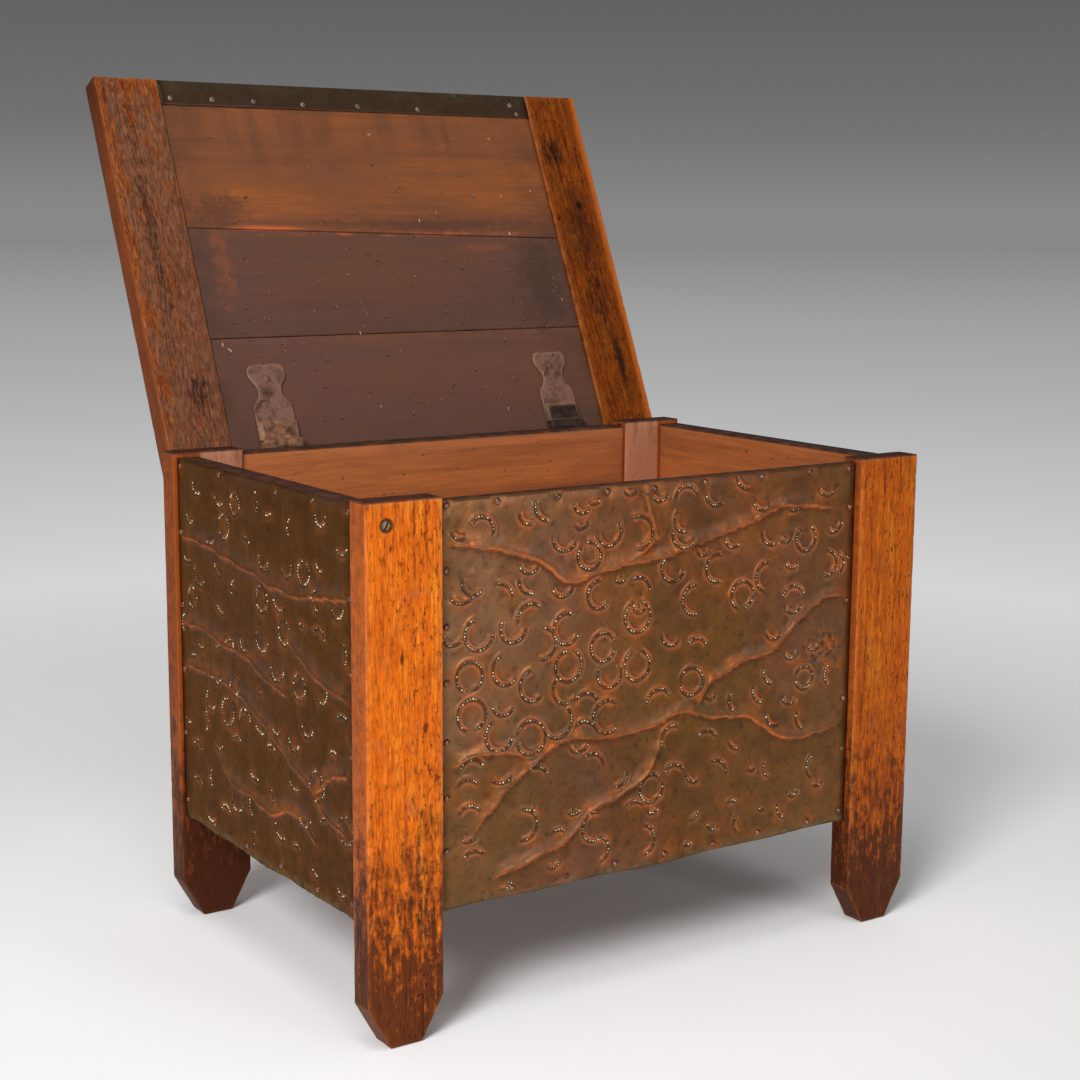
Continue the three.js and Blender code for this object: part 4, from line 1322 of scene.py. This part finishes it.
for node, shades in lid_board_shades.items():
    softwood_board(node, "lid", lid_turn, lid_turn, shades, 1.7 * len(node), lid_layers, 0.1, 0.2)


def nail_points_finish():
    """Copper nail points, brown like the wood round them, here and there rubbed bright."""
    material, own = new_material("nail_points")
    rust = cloud(own, 70, 3, 0.6, 0.40, 0.64, 51)
    colour = ramp(rust, [(0.0, nail_point_brown), (0.8, nail_point_tan), (1.0, nail_point_bright)])
    return shaded(material, {"Base Color": colour, "Metallic": 0.1, "Roughness": 0.35})


def bent_points_tree():
    """Geometry Nodes that lay a short bowed wire on every point, each turned and sized at random."""
    tree, given = points_tree("bent_points", {"Width": "Float", "Bow": "Float", "Sweep": "Float"})
    bow = add_node(tree, "GeometryNodeCurveArc", {
        "Resolution": 6, "Radius": given["Bow"], "Sweep Angle": given["Sweep"]}).outputs["Curve"]
    section = add_node(tree, "GeometryNodeCurvePrimitiveCircle", {
        "Resolution": 6, "Radius": Share(given["Width"]) * 0.5}).outputs["Curve"]
    wire = add_node(tree, "GeometryNodeCurveToMesh", {
        "Curve": bow, "Profile Curve": section, "Fill Caps": True})
    turning = combined(tree, Z=chance(tree, 0.0, 2 * math.pi, given["Seed"]))
    size = chance(tree, 0.6, 1.3, given["Seed"])
    return set_on_points(tree, given, wire.outputs[0], Rotation=turning, Scale=size)


random = np.random.default_rng(77)
half = (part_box("copper_lid")[1].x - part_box("copper_lid")[0].x) / 2 - 0.014
points_x = random.uniform(-half, half, nail_point_count)
points_y = random.uniform(0.020, lid_reach - 0.040, nail_point_count)
clear = (np.abs(np.abs(points_x) - 0.175) > 0.035) | (points_y > 0.1)
clear &= (points_y < 0.285) | (random.uniform(size=nail_point_count) < 0.4)
points = np.column_stack([points_x, points_y, np.full_like(points_x, -lid_board_underside)])[clear]
facing_down = lid_turn @ Matrix.Rotation(math.pi, 4, "X")
piece = made_by(bent_points_tree(), "nail_points", points, facing_down, {
    **nail_points, "Finish": nail_points_finish()})
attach(piece, "lid")


# The lid copper: one worked sheet laid over the boards between the rails, turned down over their front edge
# and back under it, and nailed there. The turned strip is nearly black, with green bloom and pale worn nail
# heads.
lid_sheet_low = 0.0045
lid_sheet_high = 0.0251
lid_return = 0.028
bend_radius = 0.0016
lid_crescent_spacing = 0.034
# Swells of the turned strip: the height and the pitch of each
strip_swells = ((0.0005, 0.02), (0.0003, 0.008))
strip_slate = tint(88, 74, 62)
strip_green = tint(108, 146, 120)
ring_pale = tint(150, 138, 122)
ring_middle = 0.0027
lid_vein_shares = [
    [(0.03, 0.72), (0.16, 0.76), (0.3, 0.7), (0.44, 0.74), (0.58, 0.82), (0.74, 0.8), (0.88, 0.87),
     (0.97, 0.86)],
    [(0.03, 0.3), (0.14, 0.36), (0.27, 0.33), (0.4, 0.42), (0.53, 0.5), (0.66, 0.48), (0.8, 0.56),
     (0.97, 0.52)],
    [(0.3, 0.35), (0.4, 0.28), (0.5, 0.2), (0.62, 0.17)],
    [(0.64, 0.485), (0.74, 0.4), (0.84, 0.3), (0.97, 0.26)],
]
lid_nail_shares = [(0.016, up) for up in (0.05, 0.24, 0.43, 0.62, 0.81, 0.97)]
lid_nail_shares += [(0.984, up) for up in (0.04, 0.22, 0.44, 0.61, 0.8, 0.96)]
lid_nail_shares += [(across, 0.975) for across in (0.15, 0.29, 0.42, 0.58, 0.71, 0.85)]
lid_nail_shares += [(across, 0.03) for across in (0.13, 0.28, 0.43, 0.57, 0.72, 0.86)]
# Nails of the turned strip: shares of its length and of its width, counted from its free edge
strip_nail_shares = [(0.025, 0.27), (0.128, 0.27), (0.232, 0.25), (0.36, 0.2), (0.508, 0.23), (0.675, 0.2),
                     (0.95, 0.55), (0.966, 0.16)]

# Along the sheet, from its free edge under the lid: where the first bend, the front, the second bend and
# the top begin
bend_length = bend_radius * math.pi / 2
top_length = lid_reach + lid_overhang
under_length = lid_return - bend_radius
front_length = lid_sheet_high - lid_sheet_low - 2 * bend_radius
starts = np.cumsum([0, under_length, bend_length, front_length, bend_length])
sheet_length = starts[4] + top_length - bend_radius


def lid_path(along):
    """Where the lid's sheet runs, from its turned edge under the lid to its back edge on top: Y, Z, and the
    direction in which its face looks."""
    if along < starts[1]:
        return (lid_return - lid_reach - along, lid_sheet_low, 0, -1)
    if starts[2] <= along < starts[3]:
        return (-lid_reach, lid_sheet_low + bend_radius + along - starts[2], -1, 0)
    if along >= starts[4]:
        return (bend_radius - lid_reach + along - starts[4], lid_sheet_high, 0, 1)
    if along < starts[2]:
        angle = (along - starts[1]) / bend_radius
        out = (-math.sin(angle), -math.cos(angle))
        middle = lid_sheet_low + bend_radius
    else:
        angle = (along - starts[3]) / bend_radius
        out = (-math.cos(angle), math.sin(angle))
        middle = lid_sheet_high - bend_radius
    return (bend_radius * (1 + out[0]) - lid_reach, middle + bend_radius * out[1], *out)


def strip_layers(own):
    """The turned strip is slate brown, with a few green spots along its bend."""
    below = slab(own, "Z", lid_sheet_low + 0.004, lid_sheet_low + 0.001)
    bend = slab(own, "Y", -lid_reach + 0.013, -lid_reach + 0.004)
    bloom = cloud(own, 52, 4, 0.7, 0.60, 0.70, 91)
    return [(below * 0.75, strip_slate), (below * bend * bloom, strip_green)]


def ring_finish():
    """The pale worn metal of the strip's nail heads."""
    material, own = new_material("worn_nail_rings")
    age = cloud(own, 420, 3, 0.6, 0.35, 0.65, 92)
    return shaded(material, {
        "Base Color": blend(age * 0.6, ring_pale, nail_dark), "Metallic": 0.3, "Roughness": 0.4})


low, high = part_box("copper_lid")
width = high.x - low.x
across = fine_steps(width)
along = fine_steps(sheet_length)
x, s = np.meshgrid(across, along)
top_start = sheet_length - top_length
random = np.random.default_rng(43)
crescents = scattered_crescents(random, width, top_length, lid_crescent_spacing)
relief, worked, marks = hammered(
    x, np.maximum(s - top_start, 0), lid_vein_shares, crescents, lid_nail_shares, width, top_length, random)
under = s < starts[2]
dents = sum(rise * swells(random, x, s, pitch) for rise, pitch in strip_swells)
relief = np.where(under, dents * eased(s / 0.004) * eased((starts[1] - s) / 0.006), relief * (s > starts[4]))
worked |= (s > starts[1] - 0.0025) & (s < starts[4] + 0.0025)
marks["bare"] = np.where(s < starts[4], 0.15 * (s > starts[3]), marks["bare"])
# The turned strip is made darker and duller all over through the same attribute
marks["patina_and_shade"] = np.where(under, 0.5, marks["patina_and_shade"])
marks["low"] = np.where(under, 0.25 * eased((s - 0.012) / 0.012), 0)
path = np.array([lid_path(place) for place in along])
mesh = sheet_mesh("hammered_copper_lid", across, along, path, relief, 0 * across, marks, worked)
mesh.transform(lid_turn @ Matrix.Translation((low.x, 0, 0)))
mesh.materials.append(copper("copper_lid_patina", lid_turn, 31.0, 0.8, strip_layers))
stand_for(placed("hammered_copper_lid", mesh), "copper_lid", "lid")
cells = (across[1], along[1])
on_top = lid_turn @ Matrix.Translation((low.x, -lid_reach, lid_sheet_high))
top_relief = relief[int(round(top_start / along[1])):]
dots = dot_places(crescents, width, top_length, random)
spots = np.array(lid_nail_shares) * (width, top_length)
studs_on("punched_dots_lid", dots, top_relief, cells, on_top, "lid", 3, dot_look)
studs_on("copper_nails_lid", spots, top_relief, cells, on_top, "lid", 3, nail_look, nail_lift)
below = lid_turn @ Matrix.Translation((low.x, lid_return - lid_reach, lid_sheet_low))
below = below @ Matrix.Rotation(math.pi, 4, "X")
spots = np.array(strip_nail_shares) * (width, lid_return)
middle_look = {**nail_look, "Width": ring_middle}
ring_look = {"Width": 0.0056, "Rise": 0.0007, "Sides": 14, "Spread": 0.08, "Finish": ring_finish()}
studs_on("copper_nails_strip", spots, relief, cells, below, "lid", 4, middle_look, nail_lift)
studs_on("worn_nail_rings", spots, relief, cells, below, "lid", 5, ring_look)


# The hinges: two hand cut iron straps on the lid, rolled round their pins and lapped back, with scalloped
# heads, and a short strap on the back of the box for each. They are brown with old varnish, and bright
# where they rub.
leaf_softness = 0.0004
leaf_cell = 0.003
leaf_rough_share = 0.15
lap_along = 0.025
leaf_underside = 0.0035
leaf_thickness = 0.002
screw_look = {"Width": 0.0068, "Rise": 0.0007, "Slot": 0.17}
iron_brown = tint(130, 93, 78)
iron_dark = tint(66, 46, 38)
iron_rubbed = tint(176, 138, 112)
lap_colours = {"left": (tint(84, 58, 46), tint(154, 106, 80)), "right": (tint(26, 22, 18), tint(54, 42, 32))}


def iron(name, turn, seed, barrel_share=0.0, lap_share=0.0, colours=(iron_brown, iron_dark)):
    """Brown iron with rubbed edges. The lap beside the pin and the barrel round it have their own two
    colours."""
    material, own = new_material(name, turn)
    skin = cloud(own, 55, 5, 0.65, 0.32, 0.68, seed)
    fleck = cloud(own, 260, 3, 0.6, 0.58, 0.70, seed + 2)
    barrel = slab(own, "Y", -0.0085, -0.0060) * slab(own, "Z", -0.012, -0.008) * barrel_share
    lap = (slab(own, "Y", -lap_along - 0.001, -lap_along + 0.001) * lap_share).most(barrel)
    mottle = cloud(own, 120, 4, 0.65, 0.38, 0.62, seed + 4)
    rub = attribute(own, "arris") * cloud(own, 90, 3, 0.6, 0.25, 0.55, seed + 6) * (barrel * -1.0 + 1.0)
    colour = coated(ramp(skin, [(0.0, iron_dark), (0.6, iron_brown), (1.0, iron_brown)]), [
        (fleck * 0.6, iron_dark),
        (lap, blend(mottle, *colours)),
        (rub * 0.35, iron_rubbed),
    ])
    return shaded(material, {
        "Base Color": colour,
        "Normal": bumped(skin * 0.6 + fleck * -0.8, 0.4, 0.0003),
        "Metallic": 0.2,
        "Specular IOR Level": 0.2,
        "Roughness": skin.between(0, 1, 0.38, 0.55),
    })


def screw_tree():
    """Geometry Nodes that set a slotted screw head on every point, its slot turned at random."""
    tree, given = points_tree("screws", {"Width": "Float", "Rise": "Float", "Slot": "Float"})
    width, rise = Share(given["Width"]), Share(given["Rise"])
    ball = add_node(tree, "GeometryNodeMeshUVSphere", {"Segments": 24, "Rings": 10, "Radius": 0.5})
    head = add_node(tree, "GeometryNodeTransform", {
        "Geometry": ball.outputs["Mesh"], "Scale": combined(tree, X=width, Y=width, Z=rise * 2.0)}).outputs[0]
    bar = add_node(tree, "GeometryNodeMeshCube", {
        "Size": combined(tree, X=width * 1.2, Y=width * given["Slot"], Z=rise)}).outputs["Mesh"]
    cutter = add_node(tree, "GeometryNodeTransform", {
        "Geometry": bar, "Translation": combined(tree, Z=rise * 0.75)}).outputs[0]
    slotted = add_node(tree, "GeometryNodeMeshBoolean", {0: head, 1: cutter}, operation="DIFFERENCE")
    turning = combined(tree, Z=chance(tree, 0.0, math.pi, given["Seed"]))
    return set_on_points(tree, given, slotted.outputs[0], Rotation=turning)


screws = screw_tree()
screw_iron = iron("screw_iron", Matrix(), 61)


def screws_on(name, places, turn, body, seed, look=screw_look, finish=screw_iron):
    """Screw heads at places of a local frame whose Z looks out of the surface."""
    piece = made_by(screws, name, places, turn, {**look, "Seed": seed, "Finish": finish})
    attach(piece, body)


for side, colours in lap_colours.items():
    low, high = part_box("hinge_pin_" + side)
    middle = (low.x + high.x) / 2
    for kind, turn, body, lap_share in (
            ("hinge_leaf_lid_", lid_turn, "lid", 0.9),
            ("hinge_leaf_box_", at_pin, "box", 0.0),
            ("hinge_pin_", at_pin, "box", 0.0)):
        node = kind + side
        piece = worn_plank("iron_" + node, node, leaf_softness, leaf_cell, turn, leaf_rough_share)
        piece.data.materials.append(iron(node + "_iron", turn, 3.3 * len(node), 0.9, lap_share, colours))
        stand_for(piece, node, body)
    spots = [(middle, 0.0715), (middle - 0.0085, 0.043), (middle + 0.0085, 0.041)]
    places = [(x, y, -leaf_underside) for x, y in spots]
    screws_on("screws_lid_" + side, places, facing_down, "lid", len(side))
    low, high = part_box("hinge_leaf_box_" + side)
    down = Matrix.Translation((middle, low.y + leaf_thickness, low.z))
    down = down @ Matrix.Rotation(math.radians(-90), 4, "X")
    places = [(0, -0.008, 0), (-0.011, -0.024, 0), (0.011, -0.026, 0)]
    screws_on("screws_box_" + side, places, down, "box", len(side) + 1)


# The screw in the front left post: a later repair, driven in near the post's top, its head sunk in its
# pocket. It is brass, rubbed yellow in the middle of its head, grey towards its rim, dark with grime here and
# there, and black in its slot, where shade is painted.
post_screw_look = {"Width": 0.0102, "Rise": 0.0016, "Slot": 0.17}
post_screw_turn = math.radians(150)
head_below_face = 0.0017
brass_pale = tint(166, 128, 82)
brass_grey = tint(104, 92, 86)
brass_dark = tint(34, 24, 18)


def old_brass():
    """Brass, coloured by how deep it lies below the top of the screw's head, with painted shade deep in its
    slot.
    """
    material, own = new_material("old_brass")
    crown = screw_place.y + head_below_face - post_screw_look["Rise"]
    grime = cloud(own, 520, 4, 0.7, 0.36, 0.64, 81)
    colour = coated(blend(slab(own, "Y", crown + 0.0002, crown + 0.0006), brass_pale, brass_grey), [
        (grime * 0.5, brass_dark),
        # Painted shade deep in the slot
        (slab(own, "Y", crown + 0.0009, crown + 0.0012), brass_dark),
    ])
    return shaded(material, {
        "Base Color": colour,
        "Normal": bumped(grime, 0.4, 0.0002),
        "Metallic": 0.4,
        "Roughness": grime.between(0, 1, 0.5, 0.36),
    })


sunk = facing_front @ Matrix.Rotation(post_screw_turn, 4, "Z")
screws_on("post_screw", [(0, 0, -head_below_face)], sunk, "box", 9, post_screw_look, old_brass())
